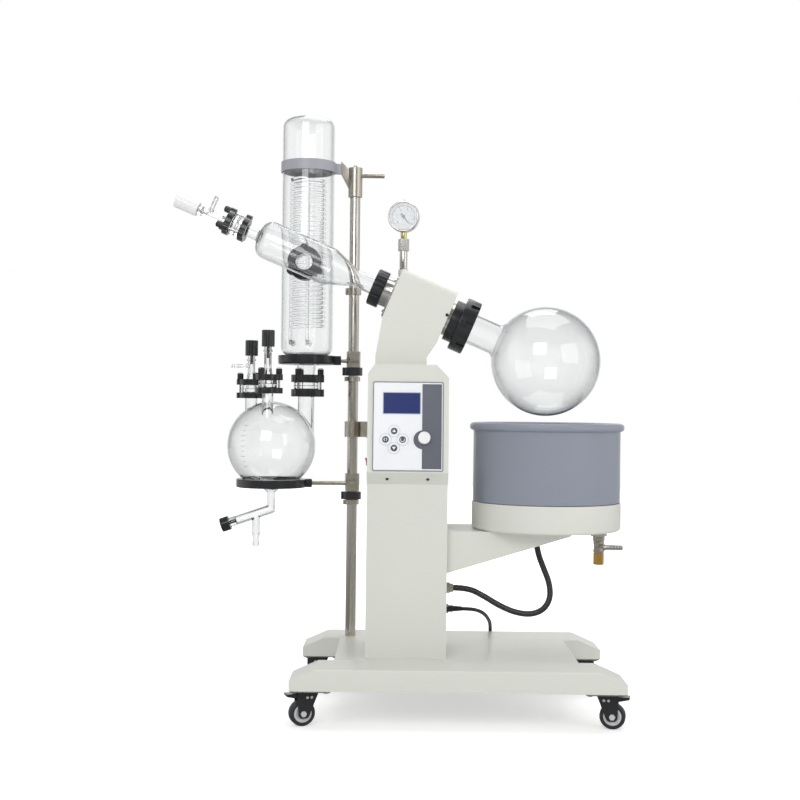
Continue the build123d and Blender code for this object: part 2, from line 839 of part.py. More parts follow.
# Hollow shaft with the flask flange, the front collar and the driven gear
with BuildPart() as rotor_shaft:
    turn(
        [
            (0, flange_joint), (nut_cavity_radius, flange_joint), (nut_cavity_radius, nut_back),
            (shaft_radius, nut_back), (shaft_radius, lock_ring_back), (collar_radius, lock_ring_back),
            (collar_radius, head_front - clearance), (shaft_radius, head_front - clearance),
            (shaft_radius, head_back - 1), (shaft_stub_radius, head_back - 1), (shaft_stub_radius, shaft_end),
            (0, shaft_end),
        ],
        axial,
    )
    toothed_disc(gear_front, Vector(0, 0, 0), wheel_teeth, 0)
    bore_step = head_back - 12
    turn([(0, flange_joint), (shaft_bore_radius, flange_joint), (shaft_bore_radius, bore_step),
          (shaft_stub_radius - 5, bore_step), (shaft_stub_radius - 5, shaft_end), (0, shaft_end)],
         axial, Mode.SUBTRACT)
finish(rotor_shaft, "rotor_shaft")

# Pinion on the motor's shaft
with BuildPart() as pinion:
    toothed_disc(gear_front, gear_axis_offset, pinion_teeth, 180 / pinion_teeth)
    rod(on_axis(gear_front - gear_room - motor_shaft_depth) + gear_axis_offset,
        on_axis(gear_back) + gear_axis_offset, motor_shaft_radius)
finish(pinion, "drive_pinion")

# Evaporating flask: a blown sphere with a flanged neck
with BuildPart() as flask:
    with Locations(flask_centre):
        Sphere(flask_radius)
    turn([(0, flask_radius - 20), (neck_radius, flask_radius - 20), (neck_radius, nut_seat),
          (nut_cavity_radius, nut_seat), (nut_cavity_radius, flange_joint), (0, flange_joint)], axial)
    fillet(flask.edges().filter_by(GeomType.CIRCLE).filter_by(
        lambda edge: abs(edge.radius - neck_radius) < 0.01).sort_by(Axis(flask_centre, head_axis))[0], 14)
    with Locations(flask_centre):
        Sphere(flask_radius - glass_wall, mode=Mode.SUBTRACT)
    rod(on_axis(flask_radius - 25), on_axis(flange_joint), neck_radius - glass_wall, Mode.SUBTRACT)
finish(flask, "rotating_flask")

# Castellated union nut over the flask's flange, with its lock ring
with BuildPart() as flask_nut:
    turn([(neck_radius + 0.5, nut_front), (nut_radius, nut_front, 3), (nut_radius, nut_back, 3),
          (nut_cavity_radius, nut_back), (nut_cavity_radius, nut_seat), (neck_radius + 0.5, nut_seat)], axial)
    with BuildSketch(Plane(origin=on_axis(nut_front), x_dir=head_up, z_dir=head_axis)) as notches:
        with PolarLocations(nut_radius, nut_notches):
            Rectangle(2 * nut_notch_depth, nut_notch_width)
    extrude(notches.sketch, amount=(nut_back - nut_front) * 0.6, mode=Mode.SUBTRACT)
    turn([(shaft_radius, nut_back), (lock_ring_radius, nut_back), (lock_ring_radius, lock_ring_back, 2),
          (shaft_radius, lock_ring_back)], axial)
finish(flask_nut, "flask_nut")

# Steel end plate and spigot that carry the duct
with BuildPart() as adapter:
    plate_plane = Plane(origin=on_axis(head_back), x_dir=(0, -1, 0), z_dir=head_axis)
    with BuildSketch(plate_plane) as plate:
        with Locations((0, (adapter_plate_top - head_half_height) / 2)):
            RectangleRounded(2 * adapter_plate_half_width, adapter_plate_top + head_half_height, 8)
    extrude(plate.sketch, amount=adapter_plate_back - head_back)
    rod(on_axis(head_back), on_axis(adapter_back), adapter_radius)
    rod(on_axis(head_back), on_axis(adapter_seat), adapter_bore_radius, Mode.SUBTRACT)
    rod(on_axis(adapter_seat), on_axis(adapter_back), duct_neck_radius, Mode.SUBTRACT)
finish(adapter, "duct_adapter")

with BuildPart() as duct_nut:
    turn([(duct_neck_radius, adapter_back), (duct_nut_radius, adapter_back, 2),
          (duct_nut_radius, duct_nut_back, 4), (duct_neck_radius, duct_nut_back)], axial)
    grooves(Plane(origin=on_axis(adapter_back), x_dir=head_up, z_dir=head_axis), duct_nut_radius + 1,
            duct_nut_groove_count, 4, duct_nut_back - adapter_back)
finish(duct_nut, "duct_nut")

# Flange clamps: where each joint lies, which way its screws point, and its sizes
# Each entry: joint plane, neck radius, screw circle, ring body radius, ring thickness, flange thickness,
# height of the screw heads and the turn of the first screw
clamps = (
    (Plane(origin=on_axis(feed_joint), x_dir=(0, -1, 0), z_dir=head_axis),
     duct_spout_radius, 30.0, 32.0, 15.0, 14.0, clamp_knob_height, 90.0),
    (Plane(origin=(port_x, port_joint_y, port_z), x_dir=(1, 0, 0), z_dir=towards_front),
     port_radius, 42.0, 45.0, 15.0, 6.0, clamp_flat_head, 90.0),
    (Plane(origin=(condenser_x, condenser_y, outlet_joint), x_dir=(1, 0, 0), z_dir=up),
     outlet_neck_radius, 38.5, 41.0, 20.0, 9.5, clamp_knob_height, 0.0),
    (Plane(origin=(*receiver_side_neck, receiver_side_joint), x_dir=(1, 0, 0), z_dir=up),
     receiver_side_neck_radius, 29.5, 32.0, 15.0, 10.5, clamp_knob_height, 60.0),
    (Plane(origin=(*receiver_front_neck, receiver_front_joint), x_dir=(1, 0, 0), z_dir=up),
     receiver_front_neck_radius, 29.5, 32.0, 15.0, 10.0, clamp_knob_height, 0.0),
)
flange_margin = 1.5


def clamp_flange(number):
    """Radius and thickness of the glass flange that a clamp holds."""
    joint, neck, circle, body, thick, flange, head_height, first = clamps[number]
    return circle - clamp_screw_radius - flange_margin, flange


def lobed_ring(plane, neck, circle, body, thick, first, drilled):
    with BuildSketch(plane) as ring:
        Circle(body)
        with PolarLocations(circle, 3, start_angle=first):
            Circle(clamp_lobe_radius)
            if drilled:
                Circle(clamp_screw_radius + clamp_hole_gap, mode=Mode.SUBTRACT)
        Circle(neck + clamp_hole_gap, mode=Mode.SUBTRACT)
    extrude(ring.sketch, amount=thick)


with BuildPart() as clamp_rings:
    for joint, neck, circle, body, thick, flange, head_height, first in clamps:
        lobed_ring(joint.offset(flange), neck, circle, body, thick, first, True)
        lobed_ring(joint.offset(-flange - thick), neck, circle, body, thick, first, False)
finish(clamp_rings, "clamp_rings")

with BuildPart() as clamp_screws:
    for joint, neck, circle, body, thick, flange, head_height, first in clamps:
        with BuildSketch(joint.offset(-flange)) as shanks:
            with PolarLocations(circle, 3, start_angle=first):
                Circle(clamp_screw_radius)
        extrude(shanks.sketch, amount=2 * flange + thick)
        with BuildSketch(joint.offset(flange + thick)) as knobs:
            with PolarLocations(circle, 3, start_angle=first):
                RegularPolygon(clamp_knob_radius, 12)
        extrude(knobs.sketch, amount=head_height)
finish(clamp_screws, "clamp_screws")

# Vapour duct: neck, cone, barrel and domed end in one blown piece, with a rear port for the condenser
feed_flange_radius, feed_flange = clamp_flange(0)
port_flange_radius, port_flange = clamp_flange(1)
with BuildPart() as duct:
    turn(
        [
            (0, adapter_seat), (duct_neck_radius, adapter_seat),
            (duct_neck_radius, duct_cone_front, duct_neck_round),
            (duct_radius, duct_cone_back, duct_shoulder_round), (duct_radius, duct_end, duct_end_round),
            (duct_spout_radius, duct_end, duct_spout_round), (duct_spout_radius, feed_joint - feed_flange),
            (feed_flange_radius, feed_joint - feed_flange, 3), (feed_flange_radius, feed_joint),
            (0, feed_joint),
        ],
        axial,
    )
    rod((port_x, port_root_y, port_z), (port_x, port_joint_y, port_z), port_radius)
    rod((port_x, port_joint_y - port_flange, port_z), (port_x, port_joint_y, port_z), port_flange_radius)
    turn(
        [
            (0, adapter_seat), (duct_neck_radius - glass_wall, adapter_seat),
            (duct_neck_radius - glass_wall, duct_cone_front, duct_neck_round),
            (duct_radius - glass_wall, duct_cone_back, duct_shoulder_round),
            (duct_radius - glass_wall, duct_end - glass_wall, duct_end_round - glass_wall),
            (duct_spout_radius - glass_wall, duct_end - glass_wall),
            (duct_spout_radius - glass_wall, feed_joint), (0, feed_joint),
        ],
        axial, Mode.SUBTRACT,
    )
    rod((port_x, port_root_y, port_z), (port_x, port_joint_y, port_z), port_radius - glass_wall,
        Mode.SUBTRACT)
finish(duct, "vapour_duct")

# Glass valve bodies: feed valve on the duct, vacuum and release valves on the receiving flask
side_flange_radius, side_flange = clamp_flange(3)
front_flange_radius, front_flange = clamp_flange(4)


def valve_body(plane, length, neck, flange_radius, flange):
    """Flanged glass tube above a joint, with a bore for the valve stem at its far end."""
    waist = neck * 0.8
    turn([(0, 0), (flange_radius, 0), (flange_radius, flange, 3), (waist, flange),
          (waist, flange + valve_waist_length), (valve_tube_radius, flange + valve_cone_end),
          (valve_tube_radius, length), (0, length)], plane)
    turn([(0, 0), (waist - glass_wall, 0), (waist - glass_wall, flange + valve_waist_length - 2),
          (stem_radius + running, flange + valve_cone_end - 2), (stem_radius + running, length), (0, length)],
         plane, Mode.SUBTRACT)


def side_nipple(root, direction, length, radius):
    """Glass nipple out of a valve tube, with a shoulder where its hose stops."""
    shoulder_end = root + direction * (valve_tube_radius + nipple_shoulder_length)
    rod(root + direction * (stem_radius + nipple_shoulder), shoulder_end, radius + nipple_shoulder)
    rod(root + direction * (stem_radius + nipple_shoulder), root + direction * length, radius)
    rod(root + direction * stem_radius, root + direction * length, nipple_bore_radius, Mode.SUBTRACT)


feed_plane = spin_plane(on_axis(feed_joint), head_axis)
vacuum_plane = upright(*receiver_side_neck, receiver_side_joint)
release_plane = upright(*receiver_front_neck, receiver_front_joint)
vacuum_x, vacuum_y = receiver_side_neck
with BuildPart() as valve_bodies:
    valve_body(feed_plane, feed_tube_end - feed_joint, duct_spout_radius, feed_flange_radius, feed_flange)
    side_nipple(on_axis(feed_nipple_along), head_up, feed_nipple_length, feed_nipple_radius)
    valve_body(vacuum_plane, vacuum_cap_bottom - receiver_side_joint, receiver_side_neck_radius,
               side_flange_radius, side_flange)
    side_nipple(Vector(vacuum_x, vacuum_y, vacuum_nipple_z), Vector(-1, 0, 0),
                vacuum_x - vacuum_nipple_end_x, vacuum_nipple_radius)
    valve_body(release_plane, release_cap_bottom - receiver_front_joint, receiver_front_neck_radius,
               front_flange_radius, front_flange)
finish(valve_bodies, "valve_bodies")


def valve_cap(plane, start, end, radius, stem_start):
    """Ribbed screw cap with the stem that it drives into the valve."""
    turn([(0, stem_start), (stem_radius, stem_start), (stem_radius, start + clearance),
          (radius, start + clearance, 1), (radius, end, 2), (0, end)], plane)


def rib_cap(plane, start, end, radius):
    base = Plane(origin=plane.origin + plane.y_dir * (start + 3), x_dir=plane.x_dir, z_dir=plane.y_dir)
    grooves(base, radius + cap_groove_radius * 0.4, cap_groove_count, cap_groove_radius, end - start)


with BuildPart() as feed_cap:
    valve_cap(axial, feed_tube_end, feed_cap_end, feed_cap_radius, feed_tube_end - feed_stem_depth)
finish(feed_cap, "feed_valve_cap")

with BuildPart() as vacuum_cap:
    valve_cap(upright(*receiver_side_neck), vacuum_cap_bottom, vacuum_cap_top, cap_radius,
              vacuum_cap_bottom - vacuum_stem_depth)
    rib_cap(upright(*receiver_side_neck), vacuum_cap_bottom, vacuum_cap_top, cap_radius)
finish(vacuum_cap, "vacuum_valve_cap")

with BuildPart() as release_cap:
    valve_cap(upright(*receiver_front_neck), release_cap_bottom, release_cap_top, cap_radius,
              release_cap_bottom - release_stem_depth)
    rib_cap(upright(*receiver_front_neck), release_cap_bottom, release_cap_top, cap_radius)
finish(release_cap, "release_valve_cap")

# Condenser jacket with its vapour inlet, coolant nipples and outlet neck
outlet_flange_radius, outlet_flange = clamp_flange(2)
coil_start_x = condenser_x - coil_radius
with BuildPart() as jacket:
    condenser_axis = upright(condenser_x, condenser_y)
    turn(
        [
            (0, outlet_joint), (outlet_flange_radius, outlet_joint),
            (outlet_flange_radius, outlet_joint + outlet_flange, 3),
            (outlet_neck_radius, outlet_joint + outlet_flange),
            (outlet_neck_radius, outlet_joint + outlet_flange + 20),
            (outlet_neck_top_radius, condenser_bottom - 16), (outlet_neck_top_radius, condenser_bottom, 4),
            (condenser_radius, condenser_bottom, condenser_foot_round),
            (condenser_radius, condenser_top, condenser_top_round), (0, condenser_top),
        ],
        condenser_axis,
    )
    rod((port_x, port_joint_y, port_z), (port_x, condenser_y - condenser_radius / 2, port_z), port_radius)
    rod((port_x, port_joint_y, port_z), (port_x, port_joint_y + port_flange, port_z), port_flange_radius)
    nipple_root = condenser_y + condenser_radius / 2
    for nipple_x in (coil_start_x, condenser_x):
        rod((nipple_x, nipple_root, coolant_z), (nipple_x, coolant_nipple_step, coolant_z),
            coolant_nipple_radius + nipple_shoulder)
        rod((nipple_x, nipple_root, coolant_z), (nipple_x, coolant_nipple_back, coolant_z),
            coolant_nipple_radius)
    inner = condenser_radius - glass_wall
    turn(
        [
            (0, outlet_joint), (outlet_neck_radius - glass_wall, outlet_joint),
            (outlet_neck_radius - glass_wall, outlet_joint + outlet_flange + 20),
            (outlet_neck_top_radius - glass_wall, condenser_bottom - 16),
            (outlet_neck_top_radius - glass_wall, condenser_bottom + glass_wall),
            (inner, condenser_bottom + glass_wall, condenser_foot_round - glass_wall),
            (inner, condenser_top - glass_wall, condenser_top_round - glass_wall),
            (0, condenser_top - glass_wall),
        ],
        condenser_axis, Mode.SUBTRACT,
    )
    rod((port_x, port_joint_y, port_z), (port_x, condenser_y, port_z), port_radius - glass_wall,
        Mode.SUBTRACT)
    for nipple_x in (coil_start_x, condenser_x):
        rod((nipple_x, condenser_y, coolant_z), (nipple_x, coolant_nipple_back, coolant_z),
            coolant_nipple_radius - glass_wall, Mode.SUBTRACT)
finish(jacket, "condenser_jacket")

# Cooling coil: a helix, its down tube on the axis and the two tails that meet the coolant nipples
with BuildPart() as coil:
    coil_rise = coil_top - coil_bottom
    with BuildLine() as coil_line:
        Helix(coil_rise / coil_turns, coil_rise, coil_radius, center=(condenser_x, condenser_y, coil_bottom))
    coil_path = coil_line.wires()[0].rotate(Axis((condenser_x, condenser_y, 0), (0, 0, 1)), 180)
    with BuildSketch(Plane(origin=coil_path @ 0, z_dir=coil_path % 0)) as coil_section:
        Circle(coil_tube_radius)
    sweep(coil_section.sketch, path=coil_path, is_frenet=True)
    coil_foot = coil_path @ 0
    coil_head = coil_path @ 1
    tail_start = Vector(coil_foot.X, coil_foot.Y, coolant_z)
    return_top = Vector(condenser_x, condenser_y, coil_top)
    return_foot = Vector(condenser_x, condenser_y, coolant_z)
    with Locations(coil_foot, coil_head, tail_start, return_top, return_foot):
        Sphere(coil_tube_radius)
    rod(coil_foot, tail_start, coil_tube_radius)
    rod(coil_head, return_top, coil_tube_radius)
    rod(return_top, return_foot, coil_tube_radius)
    for tail in (tail_start, return_foot):
        tail_edge = abs(tail.X - condenser_x) + coil_tube_radius
        tail_reach = sqrt(inner**2 - tail_edge**2) - clearance
        rod(tail, (tail.X, condenser_y + tail_reach, coolant_z), coil_tube_radius)
finish(coil, "condenser_coil")

# Clamping strap near the condenser's top, with an ear towards the pole
pole_direction = Vector(pole_x - condenser_x, pole_y - condenser_y, 0).normalized()
pole_distance = Vector(pole_x - condenser_x, pole_y - condenser_y, 0).length
strap_outer = condenser_radius + strap_thickness
with BuildPart() as strap:
    strap_plane = Plane(origin=(condenser_x, condenser_y, strap_bottom), x_dir=pole_direction, z_dir=up)
    with BuildSketch(strap_plane) as band:
        Circle(strap_outer)
        with Locations((strap_outer + strap_ear_length / 2 - 1, 0)):
            Rectangle(strap_ear_length + 2, 2.5 * strap_thickness)
        Circle(condenser_radius, mode=Mode.SUBTRACT)
    extrude(band.sketch, amount=strap_height)
finish(strap, "condenser_strap")

# Support pole on the rear beam
with BuildPart() as pole:
    rod((pole_x, pole_y, beam_top), (pole_x, pole_y, pole_top), pole_radius)
    chamfer(pole.edges().sort_by(Axis.Z)[-1], 1.5)
finish(pole, "support_pole")


def collar(span, radius):
    """Split ring clamped round the pole."""
    bottom, top = span
    with BuildSketch(Plane(origin=(pole_x, pole_y, bottom), x_dir=pole_direction, z_dir=up)) as ring:
        Circle(radius)
        with Locations((-radius, 0)):
            Rectangle(2 * collar_lug, collar_lug_width)
        Circle(pole_radius, mode=Mode.SUBTRACT)
        slot_middle = (radius + collar_lug + pole_radius - collar_slot) / 2
        with Locations((-slot_middle, 0)):
            Rectangle(radius + collar_lug - pole_radius + 3 * collar_slot, collar_slot, mode=Mode.SUBTRACT)
    extrude(ring.sketch, amount=top - bottom)


with BuildPart() as collars:
    for collar_span in black_collars:
        collar(collar_span, black_collar_radius)
finish(collars, "pole_collars")

# Rings that hold the condenser and the receiving flask
receiver_direction = Vector(pole_x - receiver_x, pole_y - receiver_y, 0).normalized()
receiver_distance = Vector(pole_x - receiver_x, pole_y - receiver_y, 0).length
flask_ring_top = flask_ring_bottom + flask_ring_height
ring_seat_height = receiver_z - flask_ring_top
flask_ring_bore = sqrt((receiver_radius + clearance) ** 2 - ring_seat_height**2)


def holder_ring(centre, direction, bottom, top, radius, bore):
    """Flat ring with a lug towards the pole."""
    with BuildSketch(Plane(origin=(*centre, bottom), x_dir=direction, z_dir=up)) as ring:
        Circle(radius)
        with Locations((radius + ring_lug_length / 2 - 2, 0)):
            Rectangle(ring_lug_length + 4, ring_lug_width)
        Circle(bore, mode=Mode.SUBTRACT)
    extrude(ring.sketch, amount=top - bottom)


with BuildPart() as condenser_ring:
    holder_ring((condenser_x, condenser_y), pole_direction, condenser_ring_bottom, condenser_bottom,
                condenser_ring_radius, condenser_ring_bore)
    fillet(condenser_ring.edges().filter_by(GeomType.CIRCLE).filter_by(
        lambda edge: abs(edge.radius - condenser_ring_radius) < 0.01).sort_by(Axis.Z)[0], 6)
finish(condenser_ring, "condenser_ring")

with BuildPart() as flask_ring:
    holder_ring((receiver_x, receiver_y), receiver_direction, flask_ring_bottom, flask_ring_top,
                flask_ring_radius, flask_ring_bore)
finish(flask_ring, "flask_ring")


def boss(span, direction, distance, ring_radius, rod_z):
    """Clamp block on the pole, its wing screw, and the rod that carries a ring."""
    bottom, top = span
    with BuildSketch(Plane(origin=(pole_x, pole_y, bottom), x_dir=direction, z_dir=up)) as body:
        RectangleRounded(boss_width, boss_width, 6)
        Circle(pole_radius, mode=Mode.SUBTRACT)
    extrude(body.sketch, amount=top - bottom)
    pole_point = Vector(pole_x, pole_y, rod_z)
    rod(pole_point - direction * (boss_width / 2),
        pole_point - direction * (distance - ring_radius - ring_lug_length), holder_rod_radius)
    side = direction.cross(up)
    screw_start = Vector(pole_x, pole_y, (bottom + top) / 2) + side * (boss_width / 2)
    screw_end = screw_start + side * boss_screw_length
    rod(screw_start, screw_end, boss_screw_radius)
    with BuildSketch(Plane(origin=screw_end, x_dir=direction, z_dir=up)) as wing:
        SlotOverall(3 * boss_wing_radius, boss_wing_radius)
    extrude(wing.sketch, amount=boss_wing_thickness, both=True)


# Steel fittings on the pole: two ring bosses, the top boss with its handle and bracket, plain collars
# and the stay to the column
with BuildPart() as fittings:
    boss(upper_boss, pole_direction, pole_distance, condenser_ring_radius,
         (condenser_ring_bottom + condenser_bottom) / 2)
    boss(lower_boss, receiver_direction, receiver_distance, flask_ring_radius,
         (flask_ring_bottom + flask_ring_top) / 2)
    for collar_span in steel_collars:
        collar(collar_span, steel_collar_radius)
    with BuildSketch(Plane(origin=(pole_x, pole_y, top_boss[0]), x_dir=pole_direction, z_dir=up)) as top_body:
        Circle(top_boss_radius)
        Circle(pole_radius, mode=Mode.SUBTRACT)
    extrude(top_body.sketch, amount=top_boss[1] - top_boss[0])
    handle_start = Vector(pole_x + top_boss_radius - 2, pole_y, top_handle_z)
    rod(handle_start, handle_start + Vector(top_handle_reach, 0, 0), top_handle_radius)
    screw_foot = Vector(pole_x, pole_y, top_boss[1])
    rod(screw_foot, screw_foot + Vector(0, 0, top_cap_height), top_boss_radius)
    rod(screw_foot, screw_foot + Vector(0, 0, top_cap_height + top_screw_height), top_screw_radius)
    bracket_plane = Plane(origin=(pole_x, pole_y, 0), x_dir=pole_direction, z_dir=pole_direction.cross(up))
    bracket_outer = -(pole_distance - strap_outer - strap_ear_length)
    extrude(
        outline(
            [
                (-top_boss_radius + 2, top_boss[0] + bracket_drop), (-top_boss_radius + 2, top_boss[1] - 2),
                (bracket_outer, strap_bottom + strap_height + bracket_rise), (bracket_outer, strap_bottom),
            ],
            bracket_plane,
        ),
        amount=strap_thickness, both=True,
    )
    stay_z = (stay_bottom, stay_bottom + stay_height)
    with BuildSketch(Plane(origin=(pole_x, pole_y, stay_bottom), x_dir=(1, 0, 0), z_dir=up)) as stay_ring:
        Circle(pole_radius + stay_thickness)
        Circle(pole_radius, mode=Mode.SUBTRACT)
    extrude(stay_ring.sketch, amount=stay_height)
    block((column_left - stay_thickness, column_left),
          (stay_foot_y, pole_y + stay_thickness / 2), stay_z)
    block((pole_x + pole_radius + 2, column_left),
          (pole_y - stay_thickness / 2, pole_y + stay_thickness / 2), stay_z)
finish(fittings, "boss_heads")

# Receiving flask: sphere, three flanged necks, bottom drop and the sloping discharge tube
slope = Vector(-cos(radians(discharge_slope)), 0, -sin(radians(discharge_slope)))
elbow = Vector(receiver_x, receiver_y, discharge_elbow_z)
discharge_end = elbow + slope * discharge_tube_length
spout_z = discharge_elbow_z - (receiver_x - spout_x) * tan(radians(discharge_slope))
receiver_necks = (
    ((condenser_x, condenser_y), outlet_neck_radius, outlet_joint, outlet_flange_radius, outlet_flange),
    (receiver_side_neck, receiver_side_neck_radius, receiver_side_joint, side_flange_radius, side_flange),
    (receiver_front_neck, receiver_front_neck_radius, receiver_front_joint,
     front_flange_radius, front_flange),
)
with BuildPart() as receiver:
    with Locations((receiver_x, receiver_y, receiver_z)):
        Sphere(receiver_radius)
    for (neck_x, neck_y), neck, joint_z, flange_radius, flange in receiver_necks:
        rod((neck_x, neck_y, receiver_z), (neck_x, neck_y, joint_z), neck)
        rod((neck_x, neck_y, joint_z - flange), (neck_x, neck_y, joint_z), flange_radius)
    rod((receiver_x, receiver_y, receiver_z), elbow, discharge_drop_radius)
    with Locations(elbow):
        Sphere(discharge_tube_radius)
    rod(elbow, discharge_end, discharge_tube_radius)
    turn([(0, spout_z), (spout_top_radius, spout_z), (spout_top_radius, spout_waist_z),
          (spout_tip_radius, spout_waist_z - 8), (spout_tip_radius, spout_tip_z), (0, spout_tip_z)],
         upright(spout_x, receiver_y))
    with Locations((receiver_x, receiver_y, receiver_z)):
        Sphere(receiver_radius - glass_wall, mode=Mode.SUBTRACT)
    for (neck_x, neck_y), neck, joint_z, flange_radius, flange in receiver_necks:
        rod((neck_x, neck_y, receiver_z + 20), (neck_x, neck_y, joint_z), neck - glass_wall, Mode.SUBTRACT)
    rod((receiver_x, receiver_y, receiver_z), elbow, discharge_drop_radius - glass_wall, Mode.SUBTRACT)
    rod(elbow, discharge_end - slope * discharge_guide, discharge_tube_radius - glass_wall, Mode.SUBTRACT)
    rod(discharge_end - slope * (discharge_guide + 1), discharge_end, stem_radius + running, Mode.SUBTRACT)
    rod((spout_x, receiver_y, spout_z), (spout_x, receiver_y, spout_tip_z), spout_tip_radius - glass_wall,
        Mode.SUBTRACT)
finish(receiver, "receiving_flask")

with BuildPart() as discharge_cap:
    discharge_plane = spin_plane(elbow, slope)
    valve_cap(discharge_plane, discharge_tube_length, discharge_tube_length + discharge_cap_length,
              discharge_cap_radius, discharge_tube_length - discharge_stem_depth)
    rib_cap(discharge_plane, discharge_tube_length, discharge_tube_length + discharge_cap_length,
            discharge_cap_radius)
finish(discharge_cap, "discharge_cap")

# Vacuum gauge: stem, hexagon coupling, fitting and round case with an open dial
gauge_face = Vector(-sin(radians(gauge_turn)), -cos(radians(gauge_turn)), 0)
gauge_centre = Vector(gauge_x, 0, gauge_z)
gauge_plane = Plane(origin=gauge_centre, x_dir=up.cross(gauge_face), z_dir=gauge_face)
gauge_front = gauge_depth / 2
dial_height = gauge_front - gauge_dial_recess
needle_lift = 1.5
with BuildPart() as gauge:
    rod((gauge_x, 0, gauge_boss_top), (gauge_x, 0, gauge_stem_top), gauge_stem_radius)
    hexagon((gauge_x, 0, gauge_stem_top), (gauge_x, 0, gauge_hex_top), gauge_hex)
    rod((gauge_x, 0, gauge_hex_top), (gauge_x, 0, gauge_z), gauge_fitting_radius)
    with BuildSketch(gauge_plane.offset(-gauge_front)) as case:
        Circle(gauge_radius)
    extrude(case.sketch, amount=gauge_depth)
    fillet(gauge.edges().filter_by(GeomType.CIRCLE).filter_by(
        lambda edge: abs(edge.radius - gauge_radius) < 0.01), 3)
    with BuildSketch(gauge_plane.offset(gauge_front)) as dial:
        Circle(gauge_radius - gauge_bezel)
    extrude(dial.sketch, amount=-gauge_dial_recess, mode=Mode.SUBTRACT)
    with BuildSketch(gauge_plane.offset(dial_height)) as pivot:
        Circle(needle_pin_radius + running)
    extrude(pivot.sketch, amount=-4, mode=Mode.SUBTRACT)
    rod((gauge_x, 0, gauge_z + gauge_radius - 3), (gauge_x, 0, gauge_z + gauge_radius + 4), 4)
finish(gauge, "gauge_body")

with BuildPart() as needle:
    needle_plane = gauge_plane.offset(dial_height + needle_lift)
    with BuildSketch(needle_plane):
        with Locations(Rotation(0, 0, needle_angle)):
            Polygon((-needle_tail, -2), (-needle_tail, 2), (needle_length, 0.4), (needle_length, -0.4),
                    align=None)
        Circle(3.5)
    extrude(amount=needle_thickness)
    with BuildSketch(gauge_plane.offset(dial_height - 3)):
        Circle(needle_pin_radius)
    extrude(amount=3 + needle_lift + needle_thickness)
finish(needle, "gauge_needle")

# Lifting gear in the column: two guide rods with a bridge, an actuator tube, and the carriage
with BuildPart() as guides:
    guide_places = [(column_middle_x, -guide_spacing / 2), (column_middle_x, guide_spacing / 2)]
    for guide_x, guide_y in guide_places:
        rod((guide_x, guide_y, beam_top), (guide_x, guide_y, guide_top), guide_radius)
    bridge = guide_bridge_length / 2
    block((column_middle_x - bridge, column_middle_x + bridge), (column_front + sheet, column_back - sheet),
          (guide_top, guide_top + guide_bridge_thickness))
    rod((column_middle_x, 0, beam_top), (column_middle_x, 0, actuator_top), actuator_radius)
    rod((column_middle_x, 0, beam_top + actuator_floor - 3), (column_middle_x, 0, actuator_top),
        actuator_rod_radius + running, Mode.SUBTRACT)
finish(guides, "lift_guides")

with BuildPart() as carriage:
    lift_z = (carriage_bottom, carriage_top)
    block((carriage_left, carriage_right), (-carriage_half_width, carriage_half_width), lift_z)
    block((carriage_right, column_right + clearance), (-tongue_half_width, tongue_half_width), lift_z)
    for guide_x, guide_y in guide_places:
        rod((guide_x, guide_y, carriage_bottom), (guide_x, guide_y, carriage_top), guide_radius + running,
            Mode.SUBTRACT)
    rod((column_middle_x, 0, beam_top + actuator_floor), (column_middle_x, 0, carriage_bottom),
        actuator_rod_radius)
finish(carriage, "lift_carriage")

# Arm that carries the bath: a folded steel box with a wiring hatch under the bath
arm_root = column_right + clearance
arm_outline = [(arm_root, arm_root_bottom), (arm_root, bath_bottom), (arm_tip_x, bath_bottom),
               (arm_tip_x, arm_tip_bottom)]
arm_slope = (arm_tip_bottom - arm_root_bottom) / (arm_tip_x - arm_root)
arm_inner_tip = arm_root + (bath_bottom - 3 * sheet - arm_root_bottom) / arm_slope
arm_inner = [
    (arm_root + sheet, arm_root_bottom + 2 * sheet), (arm_root + sheet, bath_bottom - sheet),
    (arm_inner_tip - 2 * sheet, bath_bottom - sheet),
]
conduit_end = Vector(*conduit_route[-1])
with BuildPart() as arm:
    extrude(outline(arm_outline, upright(0, 0)), amount=arm_half_width, both=True)
    fillet(arm.edges().filter_by(Axis.Y).group_by(Axis.X)[-1], 2)
    extrude(outline(arm_inner, upright(0, 0)), amount=arm_half_width - sheet, both=True, mode=Mode.SUBTRACT)
    hatch_left, hatch_right, hatch_half = arm_hatch
    block((hatch_left, hatch_right), (-hatch_half, hatch_half), (bath_bottom - sheet, bath_bottom),
          Mode.SUBTRACT)
    rod(conduit_route[-2], conduit_end, conduit_radius + 2 * clearance, Mode.SUBTRACT)
finish(arm, "bath_arm")

# Bath: housing tray, heater plate and the pot with a rolled rim
bath_axis = upright(bath_x, 0)
with BuildPart() as housing:
    turn(
        [
            (0, bath_bottom), (bath_housing_radius, bath_bottom, 8), (bath_housing_radius, bath_housing_top),
            (bath_housing_radius - bath_housing_wall, bath_housing_top),
            (bath_housing_radius - bath_housing_wall, bath_bottom + sheet), (0, bath_bottom + sheet),
        ],
        bath_axis,
    )
    rod((drain_x, 0, bath_bottom), (drain_x, 0, bath_bottom + sheet), drain_neck_radius, Mode.SUBTRACT)
finish(housing, "bath_housing")

with BuildPart() as heater:
    rod((bath_x, 0, bath_housing_top - heater_thickness), (bath_x, 0, bath_housing_top), heater_radius)
finish(heater, "bath_heater")

